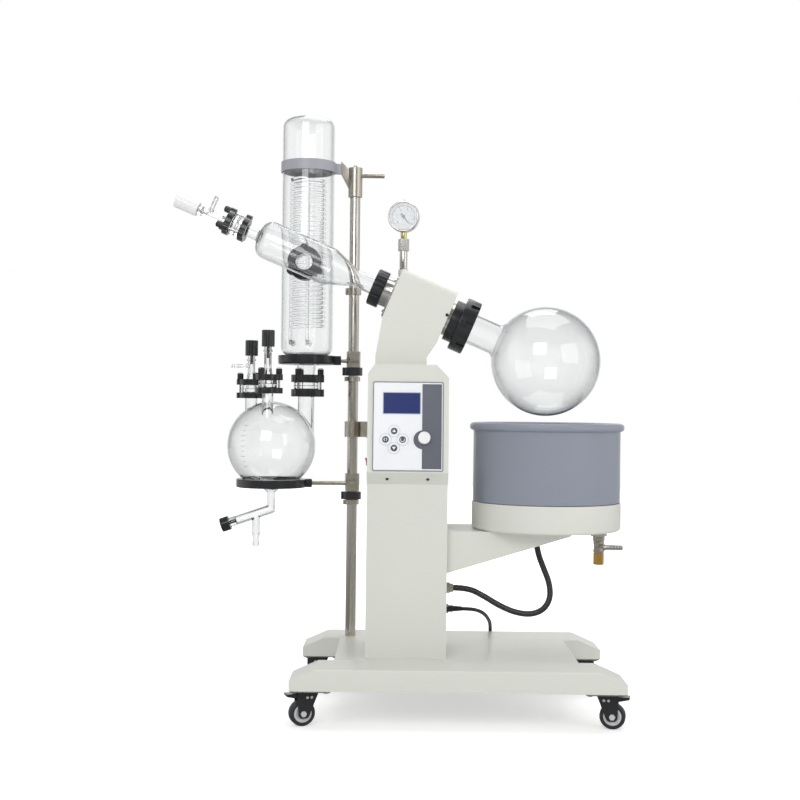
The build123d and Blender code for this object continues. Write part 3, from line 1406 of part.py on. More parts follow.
with BuildPart() as pot:
    turn(
        [
            (0, bath_housing_top), (pot_radius, bath_housing_top, 4), (pot_radius, pot_bead_z),
            (pot_bore_radius, pot_bead_z), (pot_bore_radius, bath_housing_top + pot_floor, pot_corner_round),
            (0, bath_housing_top + pot_floor),
        ],
        bath_axis,
    )
    rim_outer = pot_bead_radius + pot_radius
    rim_round = pot_bead_radius - 0.1
    turn(
        [
            (pot_bore_radius, pot_bead_z - pot_bead_radius + 2),
            (pot_radius - 1, pot_bead_z - pot_bead_radius),
            (rim_outer, pot_bead_z - pot_bead_radius, rim_round),
            (rim_outer, pot_bead_z + pot_bead_radius, rim_round),
            (pot_bore_radius, pot_bead_z + pot_bead_radius, rim_round),
        ],
        bath_axis,
    )
finish(pot, "bath_pot")

# Drain valve under the bath: neck, hexagon, body and side barb, with a brass plug that turns
with BuildPart() as drain:
    rod((drain_x, 0, drain_plate_top), (drain_x, 0, bath_bottom + sheet), drain_neck_radius)
    hexagon((drain_x, 0, drain_plate_bottom), (drain_x, 0, drain_plate_top), 2 * drain_plate_radius)
    rod((drain_x, 0, drain_body_bottom), (drain_x, 0, drain_plate_bottom), drain_body_radius)
    barb_start = (drain_x, 0, drain_barb_z)
    rod(barb_start, (drain_x + drain_body_radius + nipple_shoulder_length, 0, drain_barb_z),
        drain_barb_radius + nipple_shoulder)
    rod(barb_start, (drain_barb_end, 0, drain_barb_z), drain_barb_radius)
    rod(barb_start, (drain_barb_end, 0, drain_barb_z), drain_barb_bore, Mode.SUBTRACT)
    rod((drain_x, 0, drain_body_bottom), (drain_x, 0, drain_body_bottom + drain_guide), stem_radius + running,
        Mode.SUBTRACT)
    rod((drain_x, 0, drain_body_bottom + drain_guide), (drain_x, 0, bath_bottom + sheet), stem_radius,
        Mode.SUBTRACT)
finish(drain, "drain_valve")

with BuildPart() as drain_plug:
    plug_top = drain_body_bottom - clearance
    hexagon((drain_x, 0, drain_plug_bottom), (drain_x, 0, plug_top), drain_plug_hex)
    rod((drain_x, 0, plug_top), (drain_x, 0, drain_body_bottom + drain_guide - 2), stem_radius)
finish(drain_plug, "drain_plug")

# Glands on the column's right side
with BuildPart() as glands:
    for gland_y, gland_z, across_flats, dome in (
        (0, conduit_z, conduit_gland_hex, conduit_radius + 3),
        (cord_exit_y, cord_exit_z, cord_gland_hex, cord_radius + 4),
    ):
        gland_middle = column_right + gland_length * 0.6
        hexagon((column_right, gland_y, gland_z), (gland_middle, gland_y, gland_z), across_flats)
        rod((gland_middle, gland_y, gland_z), (column_right + gland_length, gland_y, gland_z), dome)
finish(glands, "column_glands")

# Conduit to the bath's heater
with BuildPart() as conduit:
    conduit_length, conduit_bends = hose(conduit_route, conduit_radius)
finish(conduit, "heater_conduit")

# Mains cord, its coil and its plug
with BuildPart() as cord:
    cord_length, cord_bends = hose(cord_route, cord_radius)
finish(cord, "power_cord")

plug_y = cord_coil_y + cord_coil_radius + cord_radius
plug_z = clearance + plug_height / 2
sleeve_x = cord_coil_x - plug_stub_length
with BuildPart() as cord_coil:
    turn(
        [
            (cord_coil_radius - cord_coil_half_width, clearance, cord_coil_round),
            (cord_coil_radius + cord_coil_half_width, clearance, cord_coil_round),
            (cord_coil_radius + cord_coil_half_width, cord_coil_height, cord_coil_round),
            (cord_coil_radius - cord_coil_half_width, cord_coil_height, cord_coil_round),
        ],
        upright(cord_coil_x, cord_coil_y),
    )
    rod((cord_coil_x, plug_y, plug_z), (sleeve_x, plug_y, plug_z), cord_radius)
finish(cord_coil, "cord_coil")

with BuildPart() as plug:
    body_x = sleeve_x - plug_sleeve_length
    tip_x = body_x - plug_length
    rod((sleeve_x, plug_y, plug_z), (body_x, plug_y, plug_z), plug_sleeve_radius)
    block((tip_x, body_x), (plug_y - plug_width / 2, plug_y + plug_width / 2),
          (clearance, clearance + plug_height))
    fillet(plug.edges().filter_by(Axis.X), plug_edge_round)
    for pin_side in (-1, 1):
        pin_y = plug_y + pin_side * plug_pin_spacing / 2
        rod((tip_x, pin_y, plug_z), (tip_x - plug_pin_length, pin_y, plug_z), plug_pin_radius)
finish(plug, "power_plug")

for hose_name, hose_length, bends in (
    ("conduit", conduit_length, conduit_bends), ("cord", cord_length, cord_bends),
):
    print(hose_name, "length", round(hose_length, 1), "radii", [round(bend, 1) for bend in bends])
print("conduit volume", round(conduit.part.volume), "of", round(pi * conduit_radius**2 * conduit_length))
print("cord volume", round(cord.part.volume), "of", round(pi * cord_radius**2 * cord_length))
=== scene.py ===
# A floor-standing rotary evaporator, dressed for rendering on its CAD frame.
# Each operator makes one piece or one group of like pieces, in the order of the panel in the sidebar.
# Sizes and places of meshes are in millimetres and become metres in mesh_of. The routes of the cord and
# the conduit, the rounding of edges, the camera and the lamps are in metres.

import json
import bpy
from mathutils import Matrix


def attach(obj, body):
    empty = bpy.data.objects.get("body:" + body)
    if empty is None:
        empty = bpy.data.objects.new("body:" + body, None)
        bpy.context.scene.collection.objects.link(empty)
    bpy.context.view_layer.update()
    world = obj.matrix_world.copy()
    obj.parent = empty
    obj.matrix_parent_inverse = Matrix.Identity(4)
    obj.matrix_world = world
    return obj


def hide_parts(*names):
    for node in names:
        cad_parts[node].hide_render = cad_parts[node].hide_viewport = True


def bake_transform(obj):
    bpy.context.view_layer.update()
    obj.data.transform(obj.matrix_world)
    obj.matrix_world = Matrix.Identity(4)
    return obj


bl_info = {
    "name": "Rotary evaporator",
    "version": (1, 0, 0),
    "blender": (4, 5, 0),
    "location": "3D View > Sidebar > Evaporator",
    "description": "Builds the looks of a rotary evaporator on its CAD frame",
    "category": "Object",
}

from functools import partial
from math import atan2, cos, pi, radians, sin, sqrt, tan

import bmesh
import bpy
from mathutils import Matrix, Vector

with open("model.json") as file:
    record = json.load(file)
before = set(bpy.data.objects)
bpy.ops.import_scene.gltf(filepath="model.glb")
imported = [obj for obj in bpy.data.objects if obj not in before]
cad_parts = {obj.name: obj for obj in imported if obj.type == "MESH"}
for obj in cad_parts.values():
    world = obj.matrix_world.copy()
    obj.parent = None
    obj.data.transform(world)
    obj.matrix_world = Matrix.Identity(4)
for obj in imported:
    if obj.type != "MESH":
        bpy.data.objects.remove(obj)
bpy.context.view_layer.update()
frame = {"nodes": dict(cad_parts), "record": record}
bodies_of_nodes = {
    node: body for body, nodes in frame["record"]["behaviour"]["bodies"].items() for node in nodes
}

MM = 0.001
WELD_DISTANCE = 0.00001
GLASS_WALL = 3.0
UP = Vector((0.0, 0.0, 1.0))

# Head axis: from the flask's centre up to the left, and the direction square to it
FLASK_CENTRE = Vector((227.0, 0.0, 887.0))
HEAD_TILT = radians(23)
HEAD_AXIS = Vector((-cos(HEAD_TILT), 0.0, sin(HEAD_TILT)))
HEAD_UP = Vector((sin(HEAD_TILT), 0.0, cos(HEAD_TILT)))

# Side port where the vapour duct meets the condenser, and the condenser's own axis
PORT_START = (-400, 0, 1141)
REARWARD = (0, 1, 0)
CONDENSER_AXIS = Vector((-400.0, 170.0, 0.0))

# Routes of the mains cord and of the conduit to the bath, in metres
CORD_ROUTE = (
    (-0.004, 0.080, 0.237), (0.031, 0.080, 0.237), (0.062, 0.097, 0.232), (0.086, 0.135, 0.216),
    (0.101, 0.187, 0.192), (0.109, 0.242, 0.171), (0.113, 0.290, 0.145), (0.115, 0.316, 0.104),
    (0.115, 0.336, 0.062), (0.109, 0.360, 0.026), (0.089, 0.386, 0.0075), (0.056, 0.404, 0.0053),
    (0.020, 0.410, 0.0065),
)
CORD_TAIL = (
    (0.020, 0.4113, 0.0161), (0.000, 0.4110, 0.0150), (-0.022, 0.4102, 0.0118),
    (-0.038, 0.4100, 0.0103), (-0.052, 0.4100, 0.0103),
)
CONDUIT_ROUTE = (
    (-0.004, 0.0, 0.303), (0.034, 0.0, 0.303), (0.073, 0.0, 0.284), (0.114, 0.0, 0.259),
    (0.156, 0.0, 0.241), (0.198, 0.0, 0.236), (0.231, 0.0, 0.250), (0.247, 0.0, 0.281),
    (0.243, 0.0, 0.320), (0.227, 0.0, 0.358), (0.212, 0.0, 0.397), (0.206, 0.0, 0.436),
)

# Coil of the unseen cord on the floor, in metres, and the angles in degrees at which it changes course
COIL_CENTRE = Vector((0.020, 0.350, 0.0))
COIL_OUTER, COIL_INNER = 0.0604, 0.0500
COIL_LOW, COIL_HIGH = 0.0060, 0.0161
COIL_START, COIL_STEP, COIL_POINTS = 90.0, 22.5, 63
TURN_INWARDS, CLIMB, TURN_OUTWARDS = (372, 440), (735, 785), (1175, 1235)

# Tie of the coil, in millimetres: where it sits, its middle from the coil's centre, and half its width
TIE_TURN = radians(200)
TIE_MIDDLE = (55.2, 11.2)
TIE_HALF_WIDTH = 4

# Camera that matches the photograph: place in metres, turn in radians, lens and sensor in millimetres
CAMERA_PLACE = (-0.138, -3.310, 0.771)
CAMERA_TURN = 0.0115
CAMERA_LENS, CAMERA_SENSOR = 57.96, 36.0
CAMERA_SHIFT = (-3 / 800, 5 / 800)


def along_head(distance, above=0.0):
    """Point at a distance along the head axis from the flask's centre."""
    return FLASK_CENTRE + HEAD_AXIS * distance + HEAD_UP * above


def srgb(red, green, blue):
    """Linear colour of a display colour from 0 to 255."""
    shares = [value / 255 for value in (red, green, blue)]
    linear = [share / 12.92 if share <= 0.04045 else ((share + 0.055) / 1.055) ** 2.4 for share in shares]
    return (*linear, 1.0)


def length_property(name, description, default, low, high):
    return bpy.props.FloatProperty(
        name=name, description=description, default=default, min=low, max=high, unit="LENGTH")


def colour_property(name, description, default):
    return bpy.props.FloatVectorProperty(
        name=name, description=description, subtype="COLOR", size=4, min=0.0, max=1.0, default=default)


class EvaporatorSizes(bpy.types.PropertyGroup):
    """Sizes of the dressed pieces that a user may change"""

    cord_diameter: length_property("Cord diameter", "Diameter of the mains cord", 0.010, 0.004, 0.014)
    cord_length: length_property(
        "Cord length", "Length of the mains cord from its gland to its plug", 1.98, 0.6, 6.0)
    conduit_diameter: length_property(
        "Conduit diameter", "Outer diameter of the corrugated conduit", 0.016, 0.008, 0.03)
    conduit_pitch: length_property(
        "Conduit pitch", "Distance from one rib of the conduit to the next", 0.0042, 0.002, 0.01)
    coil_turns: bpy.props.IntProperty(
        name="Coil turns", description="Turns of the glass coil in the condenser", default=32, min=8, max=48)
    edge_scale: bpy.props.FloatProperty(
        name="Edge scale", description="Scale of the rounded edges of all pieces",
        default=1.0, min=0.2, max=3.0)


class EvaporatorColours(bpy.types.PropertyGroup):
    """Colours of the finishes that a user may change"""

    enamel: colour_property("Powder coat", "Colour of the housings", srgb(220, 221, 213))
    pot: colour_property("Pot coating", "Colour of the bath's pot", srgb(141, 147, 160))
    display: colour_property("Display", "Colour of the display's window", srgb(33, 48, 110))
    plastic: colour_property("Black plastic", "Colour of the clamps, nuts and caps", srgb(26, 28, 32))


def sizes():
    return bpy.context.scene.evaporator_sizes


def colours():
    return bpy.context.scene.evaporator_colours


# Nodes, for materials and for Geometry Nodes trees


def fill(tree, node, values):
    """Give inputs of a node, by name or place, a value or a link."""
    for label, value in values.items():
        if isinstance(value, bpy.types.NodeSocket):
            tree.links.new(value, node.inputs[label])
        else:
            node.inputs[label].default_value = value
    return node


def add_node(tree, kind, values=None, **settings):
    """New node with its settings and its inputs."""
    node = tree.nodes.new(kind)
    for label, value in settings.items():
        setattr(node, label, value)
    return fill(tree, node, values or {})


def calculate(tree, operation, first, second=None, clamp=False):
    """Math node on values or sockets; returns its output."""
    values = {0: first} if second is None else {0: first, 1: second}
    return add_node(tree, "ShaderNodeMath", values, operation=operation, use_clamp=clamp).outputs[0]


def ramp(tree, value, start, end, low, high):
    """Smooth change from low to high between two values."""
    values = {"Value": value, "From Min": start, "From Max": end, "To Min": low, "To Max": high}
    return add_node(tree, "ShaderNodeMapRange", values, interpolation_type="SMOOTHSTEP").outputs["Result"]


def new_group(name, kind, inputs, outputs):
    """Empty node group; returns it, the sockets that its start node gives, and its end node."""
    group = bpy.data.node_groups.new(name, kind)
    for label, socket, value in inputs:
        made = group.interface.new_socket(name=label, in_out="INPUT", socket_type="NodeSocket" + socket)
        if value is not None:
            made.default_value = value
    for label, socket in outputs:
        group.interface.new_socket(name=label, in_out="OUTPUT", socket_type="NodeSocket" + socket)
    return group, group.nodes.new("NodeGroupInput").outputs, group.nodes.new("NodeGroupOutput")


# Materials


def surface_variation_group():
    """Uneven tone and roughness and the height of a fine texture, from Object coordinates."""
    group, start, end = new_group(
        "surface_variation", "ShaderNodeTree",
        [("Color", "Color", (0.5, 0.5, 0.5, 1.0)), ("Tone", "Float", 0.03), ("Patch Scale", "Float", 9.0),
         ("Fine Scale", "Float", 900.0), ("Stretch", "Vector", (1.0, 1.0, 1.0)), ("Roughness", "Float", 0.4),
         ("Roughness Spread", "Float", 0.08)],
        [("Color", "Color"), ("Roughness", "Float"), ("Height", "Float")])
    work = partial(calculate, group)
    place = add_node(group, "ShaderNodeTexCoord").outputs["Object"]
    stretch = add_node(group, "ShaderNodeVectorMath", {0: place, 1: start["Stretch"]}, operation="MULTIPLY")
    patches = add_node(group, "ShaderNodeTexNoise", {
        "Detail": 3.0, "Vector": place, "Scale": start["Patch Scale"]}).outputs["Fac"]
    fine = add_node(group, "ShaderNodeTexNoise", {
        "Detail": 2.0, "Vector": stretch.outputs[0], "Scale": start["Fine Scale"]}).outputs["Fac"]
    centred = work("SUBTRACT", patches, 0.5)
    shade = work("ADD", work("MULTIPLY", work("MULTIPLY", centred, start["Tone"]), 2.0), 1.0)
    tinted = add_node(group, "ShaderNodeVectorMath", {0: start["Color"], "Scale": shade}, operation="SCALE")
    both = work("ADD", work("SUBTRACT", fine, 0.5), centred)
    spread = work("MULTIPLY", both, start["Roughness Spread"])
    fill(group, end, {
        "Color": tinted.outputs[0], "Roughness": work("ADD", start["Roughness"], spread, clamp=True),
        "Height": fine})
    return group


def new_material(name):
    """Empty material with its tree and its main shader."""
    material = bpy.data.materials.new(name)
    material.use_nodes = True
    return material, material.node_tree, material.node_tree.nodes["Principled BSDF"]


def varied_finish(name, colour, roughness, metallic=0.0, tone=0.03, patch=9.0, fine=900.0,
                  stretch=(1.0, 1.0, 1.0), spread=0.08, bump=0.04, coat=0.0, specular=0.5):
    """Opaque material with uneven tone, roughness and a fine bump."""
    material, tree, shader = new_material(name)
    group = bpy.data.node_groups.get("surface_variation") or surface_variation_group()
    variation = add_node(tree, "ShaderNodeGroup", node_tree=group)
    fill(tree, variation, {
        "Color": colour, "Tone": tone, "Patch Scale": patch, "Fine Scale": fine, "Stretch": stretch,
        "Roughness": roughness, "Roughness Spread": spread})
    fill(tree, shader, {
        "Base Color": variation.outputs["Color"], "Roughness": variation.outputs["Roughness"],
        "Metallic": metallic, "Coat Weight": coat, "Coat Roughness": 0.12, "Specular IOR Level": specular})
    if bump:
        relief = add_node(tree, "ShaderNodeBump", {
            "Strength": bump, "Distance": 0.0004, "Height": variation.outputs["Height"]})
        fill(tree, shader, {"Normal": relief.outputs["Normal"]})
    return material


def blown_glass(name, edge, clear=(0.955, 0.962, 0.962, 1.0), wave=0.02, ior=1.47):
    """Clear glass that darkens a little where the wall is seen edge-on, with faint waves in it."""
    material, tree, shader = new_material(name)
    facing = add_node(tree, "ShaderNodeLayerWeight", {"Blend": 0.5}).outputs["Facing"]
    grazing = calculate(tree, "POWER", facing, 2.0)
    tint = add_node(tree, "ShaderNodeMix", {0: grazing, 6: clear, 7: edge}, data_type="RGBA").outputs[2]
    place = add_node(tree, "ShaderNodeTexCoord").outputs["Object"]
    ripple = add_node(tree, "ShaderNodeTexNoise", {
        "Scale": 22.0, "Detail": 1.0, "Vector": place}).outputs["Fac"]
    relief = add_node(tree, "ShaderNodeBump", {"Strength": wave, "Distance": 0.004, "Height": ripple})
    fill(tree, shader, {
        "Transmission Weight": 1.0, "IOR": ior, "Base Color": tint,
        "Roughness": calculate(tree, "MULTIPLY", ripple, 0.002), "Normal": relief.outputs["Normal"]})
    return material


# Opaque finishes: display colour, or the name of one of the panel's colours; roughness; what else differs
FINISHES = {
    "enamel": ("enamel", 0.42, dict(tone=0.012, patch=5.0, fine=1400.0, bump=0.05, coat=0.12)),
    "zinc_steel": ((186, 180, 168), 0.3, dict(metallic=1.0, tone=0.08, patch=60.0, spread=0.15)),
    "steel": ((196, 192, 184), 0.24, dict(
        metallic=1.0, tone=0.04, patch=14.0, fine=600.0, stretch=(1.0, 1.0, 0.03), spread=0.14, bump=0.02)),
    "turned_steel": ((204, 202, 197), 0.2, dict(metallic=1.0, tone=0.05, fine=1200.0, spread=0.14)),
    "black_plastic": ("plastic", 0.3, dict(
        tone=0.12, patch=30.0, fine=1500.0, spread=0.1, bump=0.05, coat=0.35)),
    "black_rubber": ((27, 28, 31), 0.42, dict(tone=0.1, patch=40.0, bump=0.08)),
    "conduit_black": ((24, 25, 28), 0.26, dict(tone=0.08, patch=40.0, coat=0.5)),
    "wheel_rubber": ((50, 50, 53), 0.45, dict(tone=0.16, patch=70.0, fine=700.0, bump=0.1)),
    "fork_black": ((38, 39, 43), 0.3, dict(tone=0.1, patch=40.0, fine=1200.0, bump=0.06, coat=0.5)),
    "pot_coating": ("pot", 0.36, dict(patch=7.0, fine=1100.0, bump=0.05, coat=0.2)),
    "strap_grey": ((168, 169, 177), 0.4, dict(tone=0.05, patch=25.0, bump=0.06)),
    "brass": ((208, 164, 92), 0.26, dict(metallic=1.0, tone=0.08, patch=60.0, spread=0.14)),
    "pale_brass": ((204, 198, 138), 0.24, dict(metallic=1.0, tone=0.06, patch=60.0, spread=0.12)),
    "white_plastic": ((240, 241, 240), 0.4, dict(tone=0.015, patch=30.0, fine=1000.0, bump=0.03, coat=0.1)),
    "red_plastic": ((134, 28, 24), 0.32, dict(tone=0.06, patch=60.0, coat=0.2)),
    "motor_alloy": ((150, 152, 156), 0.45, dict(metallic=0.8, tone=0.08, patch=40.0, fine=500.0, bump=0.1)),
    "hub_grey": ((204, 206, 208), 0.4, dict(tone=0.05, patch=60.0, bump=0.05)),
    "panel_film": ((240, 242, 246), 0.3, dict(tone=0.01, patch=20.0, fine=2200.0, bump=0.03)),
    "panel_edge": ((120, 121, 126), 0.4, dict(tone=0.05, patch=60.0, bump=0.05)),
    "panel_shade": ((95, 98, 110), 0.34, dict(patch=20.0, fine=2200.0, bump=0.03)),
    "print_dark": ((70, 73, 80), 0.36, dict(tone=0.04, patch=60.0, fine=2200.0, bump=0.02)),
    "print_grey": ((168, 172, 180), 0.36, dict(patch=60.0, fine=2200.0, bump=0.02)),
    "dial_white": ((236, 240, 244), 0.3, dict(tone=0.01, patch=40.0, fine=1500.0, bump=0.01)),
    "dial_blue": ((126, 134, 176), 0.35, dict(patch=60.0, fine=1500.0, bump=0.01)),
    "needle_black": ((24, 24, 26), 0.35, dict(tone=0.08, patch=80.0, bump=0.02)),
    "display_window": ("display", 0.32, dict(tone=0.05, patch=26.0, fine=2000.0, bump=0.0, specular=0.25)),
    "graduation": ((172, 176, 180), 0.5, dict(patch=80.0, bump=0.02)),
}

# Clear finishes: display colour of walls seen edge-on, and what else differs
GLASSES = {
    "glass": ((118, 124, 128), {}),
    "thick_glass": ((104, 112, 116), dict(wave=0.03)),
    "pale_glass": ((200, 204, 206), {}),
    "faint_glass": ((222, 226, 228), dict(clear=(0.985, 0.988, 0.988, 1.0), ior=1.25)),
}


def finish_of(name):
    """Material by the name of its finish, made when it is first used."""
    label = "finish_" + name
    if label in bpy.data.materials:
        return bpy.data.materials[label]
    if name in GLASSES:
        edge, options = GLASSES[name]
        return blown_glass(label, srgb(*edge), **options)
    colour, roughness, options = FINISHES[name]
    colour = getattr(colours(), colour) if isinstance(colour, str) else srgb(*colour)
    return varied_finish(label, colour, roughness, **options)


# Meshes


def linked(name, data):
    """New object in the scene."""
    piece = bpy.data.objects.new(name, data)
    bpy.context.scene.collection.objects.link(piece)
    return piece


def weld(shape):
    bmesh.ops.remove_doubles(shape, verts=shape.verts, dist=WELD_DISTANCE)


def flatten(shape):
    bmesh.ops.dissolve_limit(shape, angle_limit=radians(0.5), verts=shape.verts, edges=shape.edges)


def face_outwards(shape):
    bmesh.ops.recalc_face_normals(shape, faces=shape.faces)


def remade(target, sources, *steps):
    """Write the source meshes into a mesh, after some steps of work on them."""
    shape = bmesh.new()
    for mesh in sources:
        shape.from_mesh(mesh)
    for step in steps:
        step(shape)
    shape.to_mesh(target)
    shape.free()
    return target


def joined(name, meshes):
    """One mesh of several, which are removed."""
    result = remade(bpy.data.meshes.new(name), meshes)
    for mesh in meshes:
        bpy.data.meshes.remove(mesh)
    result.name = name
    return result


def mesh_of(name, points, faces):
    """Mesh in metres from points in millimetres, with its faces turned outwards."""
    mesh = bpy.data.meshes.new(name)
    mesh.from_pydata([Vector(point) * MM for point in points], [], faces)
    return remade(mesh, [mesh], face_outwards)


def add_piece(name, mesh, finish, body, replaces=(), smooth=40):
    """Link a mesh, or a list of meshes as one, with its shading, its finish and the CAD body it rides on."""
    if isinstance(mesh, list):
        mesh = joined(name, mesh)
    piece = linked(name, mesh)
    mesh.materials.clear()
    mesh.materials.append(finish_of(finish))
    mesh.shade_smooth()
    mesh.set_sharp_from_angle(angle=radians(smooth))
    if body:
        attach(piece, body)
    if replaces:
        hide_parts(*replaces)
    return piece


def rounded(points, steps):
    """Outline whose points with a third number are rounded by that radius."""
    outline = []
    for place, point in enumerate(points):
        here = Vector(point[:2])
        if len(point) < 3:
            outline.append(here)
            continue
        back = (Vector(points[place - 1][:2]) - here).normalized()
        ahead = (Vector(points[(place + 1) % len(points)][:2]) - here).normalized()
        half = back.angle(ahead) / 2
        reach = point[2] / tan(half)
        centre = here + (back + ahead).normalized() * (point[2] / sin(half))
        first = here + back * reach - centre
        turn = first.angle_signed(here + ahead * reach - centre)
        for step in range(steps + 1):
            spot = first.copy()
            spot.rotate(Matrix.Rotation(-turn * step / steps, 2))
            outline.append(centre + spot)
    return outline


def turned(name, profile, origin, direction, steps=96, corner=0):
    """Solid of revolution from radius and height pairs; corner is the number of steps in a rounded corner."""
    direction = Vector(direction).normalized()
    helper = Vector((0.0, 1.0, 0.0)) if abs(direction.y) < 0.9 else Vector((1.0, 0.0, 0.0))
    first = direction.cross(helper).normalized()
    second = direction.cross(first)
    points = []
    rings = []
    for radius, height in rounded(profile, corner) if corner else profile:
        middle = Vector(origin) + direction * height
        if radius < 0.01:
            rings.append([len(points)])
            points.append(middle)
            continue
        rings.append(list(range(len(points), len(points) + steps)))
        for step in range(steps):
            angle = 2 * pi * step / steps
            points.append(middle + (first * cos(angle) + second * sin(angle)) * radius)
    faces = []
    for low, high in zip(rings, rings[1:] + rings[:1]):
        if len(low) == 1 and len(high) == 1:
            continue
        for step in range(steps):
            after = (step + 1) % steps
            if len(low) == 1:
                faces.append((low[0], high[step], high[after]))
            elif len(high) == 1:
                faces.append((low[step], low[after], high[0]))
            else:
                faces.append((low[step], low[after], high[after], high[step]))
    return mesh_of(name, points, faces)


def bar(name, start, end, radius, steps=32, edge=0.0):
    """Round bar between two points, with rounded rims."""
    way = Vector(end) - Vector(start)
    rim = (edge,) if edge else ()
    return turned(name, [(0, 0), (radius, 0, *rim), (radius, way.length, *rim), (0, way.length)],
                  start, way, steps, 3)


def plate(name, outline, origin, x_axis, y_axis, thickness):
    """Flat plate with a given outline, raised from its origin along the plane's normal."""
    x_axis = Vector(x_axis).normalized()
    y_axis = Vector(y_axis).normalized()
    normal = x_axis.cross(y_axis).normalized()
    low = [Vector(origin) + x_axis * x + y_axis * y for x, y in outline]
    high = [point + normal * thickness for point in low]
    count = len(low)
    faces = [tuple(range(count))[::-1], tuple(range(count, 2 * count))]
    faces += [(i, (i + 1) % count, count + (i + 1) % count, count + i) for i in range(count)]
    return mesh_of(name, low + high, faces)


def hoop(name, rings):
    """Closed band: each ring of points is joined to the next, and the last to the first."""
    count = len(rings[0])
    faces = []
    for ring in range(len(rings)):
        here, there = ring * count, (ring + 1) % len(rings) * count
        for place in range(count):
            after = (place + 1) % count
            faces.append((here + place, here + after, there + after, there + place))
    return mesh_of(name, [point for ring in rings for point in ring], faces)


def tube_mesh(name, path, radius, sides):
    """Closed round tube through given points, kept from twisting."""
    points = []
    previous = None
    for place, here in enumerate(path):
        ahead = (path[min(place + 1, len(path) - 1)] - path[max(place - 1, 0)]).normalized()
        if previous is None:
            previous = ahead.orthogonal().normalized()
        side = (previous - ahead * previous.dot(ahead)).normalized()
        other = ahead.cross(side)
        previous = side
        points += [here + (side * cos(2 * pi * i / sides) + other * sin(2 * pi * i / sides)) * radius
                   for i in range(sides)]
    faces = []
    for ring in range(len(path) - 1):
        for i in range(sides):
            after = (i + 1) % sides
            faces.append((ring * sides + i, ring * sides + after,
                          (ring + 1) * sides + after, (ring + 1) * sides + i))
    faces.append(tuple(range(sides))[::-1])
    faces.append(tuple((len(path) - 1) * sides + i for i in range(sides)))
    return mesh_of(name, points, faces)


def circle_outline(radius, steps=48, centre=(0.0, 0.0), start=0.0, sweep=2 * pi):
    count = steps if abs(sweep - 2 * pi) < 0.001 else steps + 1
    angles = [start + sweep * i / steps for i in range(count)]
    return [(centre[0] + radius * cos(angle), centre[1] + radius * sin(angle)) for angle in angles]


def arc_band(inner, outer, steps, start, sweep):
    """Outline of part of a flat ring."""
    middle = (0, 0)
    return circle_outline(outer, steps, middle, start, sweep) + circle_outline(
        inner, steps, middle, start, sweep)[::-1]


def box_outline(width, height, round_radius, centre=(0.0, 0.0)):
    corners = [(centre[0] + x * width / 2, centre[1] + y * height / 2, round_radius)
               for x, y in ((-1, -1), (1, -1), (1, 1), (-1, 1))]
    return rounded(corners, 5)


def bulb(radius, neck, fillet, steps):
    """Half outline of a sphere from its far pole to where a rounded corner meets its neck."""
    reach = sqrt((radius + fillet) ** 2 - (neck + fillet) ** 2)
    last = atan2(neck + fillet, reach)
    profile = [(radius * sin(pi - (pi - last) * i / steps), radius * cos(pi - (pi - last) * i / steps))
               for i in range(steps + 1)]
    profile[0] = (0.0, -radius)
    start = pi + last
    for i in range(1, 9):
        angle = start + (pi - start) * i / 8
        profile.append((neck + fillet + fillet * cos(angle), reach + fillet * sin(angle)))
    return profile


def rounded_edges(piece, width, segments=2, angle=38):
    """Soft edges that catch the light."""
    bevel = piece.modifiers.new("Edge round", "BEVEL")
    bevel.width = width * sizes().edge_scale
    bevel.segments = segments
    bevel.limit_method = "ANGLE"
    bevel.angle_limit = radians(angle)
    bevel.harden_normals = True
    bevel.use_clamp_overlap = True
    return piece


def dressed(node, finish, width, smooth=35):
    """Copy of a CAD node, with flat faces made whole and soft edges, which stands for the node."""
    name = f"{node}_finished"
    mesh = remade(bpy.data.meshes.new(name), [frame["nodes"][node].data], weld, flatten)
    return rounded_edges(add_piece(name, mesh, finish, bodies_of_nodes[node], (node,), smooth), width)


def applied(piece, name):
    """Plain mesh of an object with its modifiers; the object is removed."""
    bpy.context.view_layer.update()
    evaluated = piece.evaluated_get(bpy.context.evaluated_depsgraph_get())
    mesh = bpy.data.meshes.new_from_object(evaluated)
    mesh.name = name
    bpy.data.objects.remove(piece)
    return mesh


def blown(name, shapes):
    """Glass shell: the union of turned solids less the union of their bores.

    A shape is an outer profile, a bore, an origin, a direction, steps, and steps in the corners of both.
    """
    solids, bores = [], []
    for solid, bore, origin, direction, steps, corner, bore_corner in shapes:
        solids.append(turned("solid", solid, origin, direction, steps, corner))
        bores.append(turned("bore", bore, origin, direction, steps, bore_corner))
    base = linked("solid", solids[0])
    helpers = []
    for operation, group in (("UNION", solids[1:]), ("DIFFERENCE", bores)):
        for mesh in group:
            helpers.append(linked(mesh.name, mesh))
            step = base.modifiers.new(operation, "BOOLEAN")
            step.operation = operation
            step.solver = "EXACT"
            step.object = helpers[-1]
    result = applied(base, name)
    for piece in helpers:
        bpy.data.objects.remove(piece)
    return remade(result, [result], weld, face_outwards)


def smooth_line(name, points, resolution):
    """Curve in metres from the first point to the last."""
    line = bpy.data.curves.new(name, "CURVE")
    line.dimensions = "3D"
    line.resolution_u = resolution
    spline = line.splines.new("NURBS")
    spline.points.add(len(points) - 1)
    for place, point in zip(spline.points, points):
        place.co = (*point, 1.0)
    spline.order_u = 3
    spline.use_endpoint_u = True
    return line


# Geometry Nodes trees


def geometry_tree(name, inputs):
    """Geometry Nodes tree with a geometry input, the given inputs, a material, and a geometry output."""
    return new_group(name, "GeometryNodeTree", [
        ("Geometry", "Geometry", None), *inputs, ("Material", "Material", None)], [("Geometry", "Geometry")])


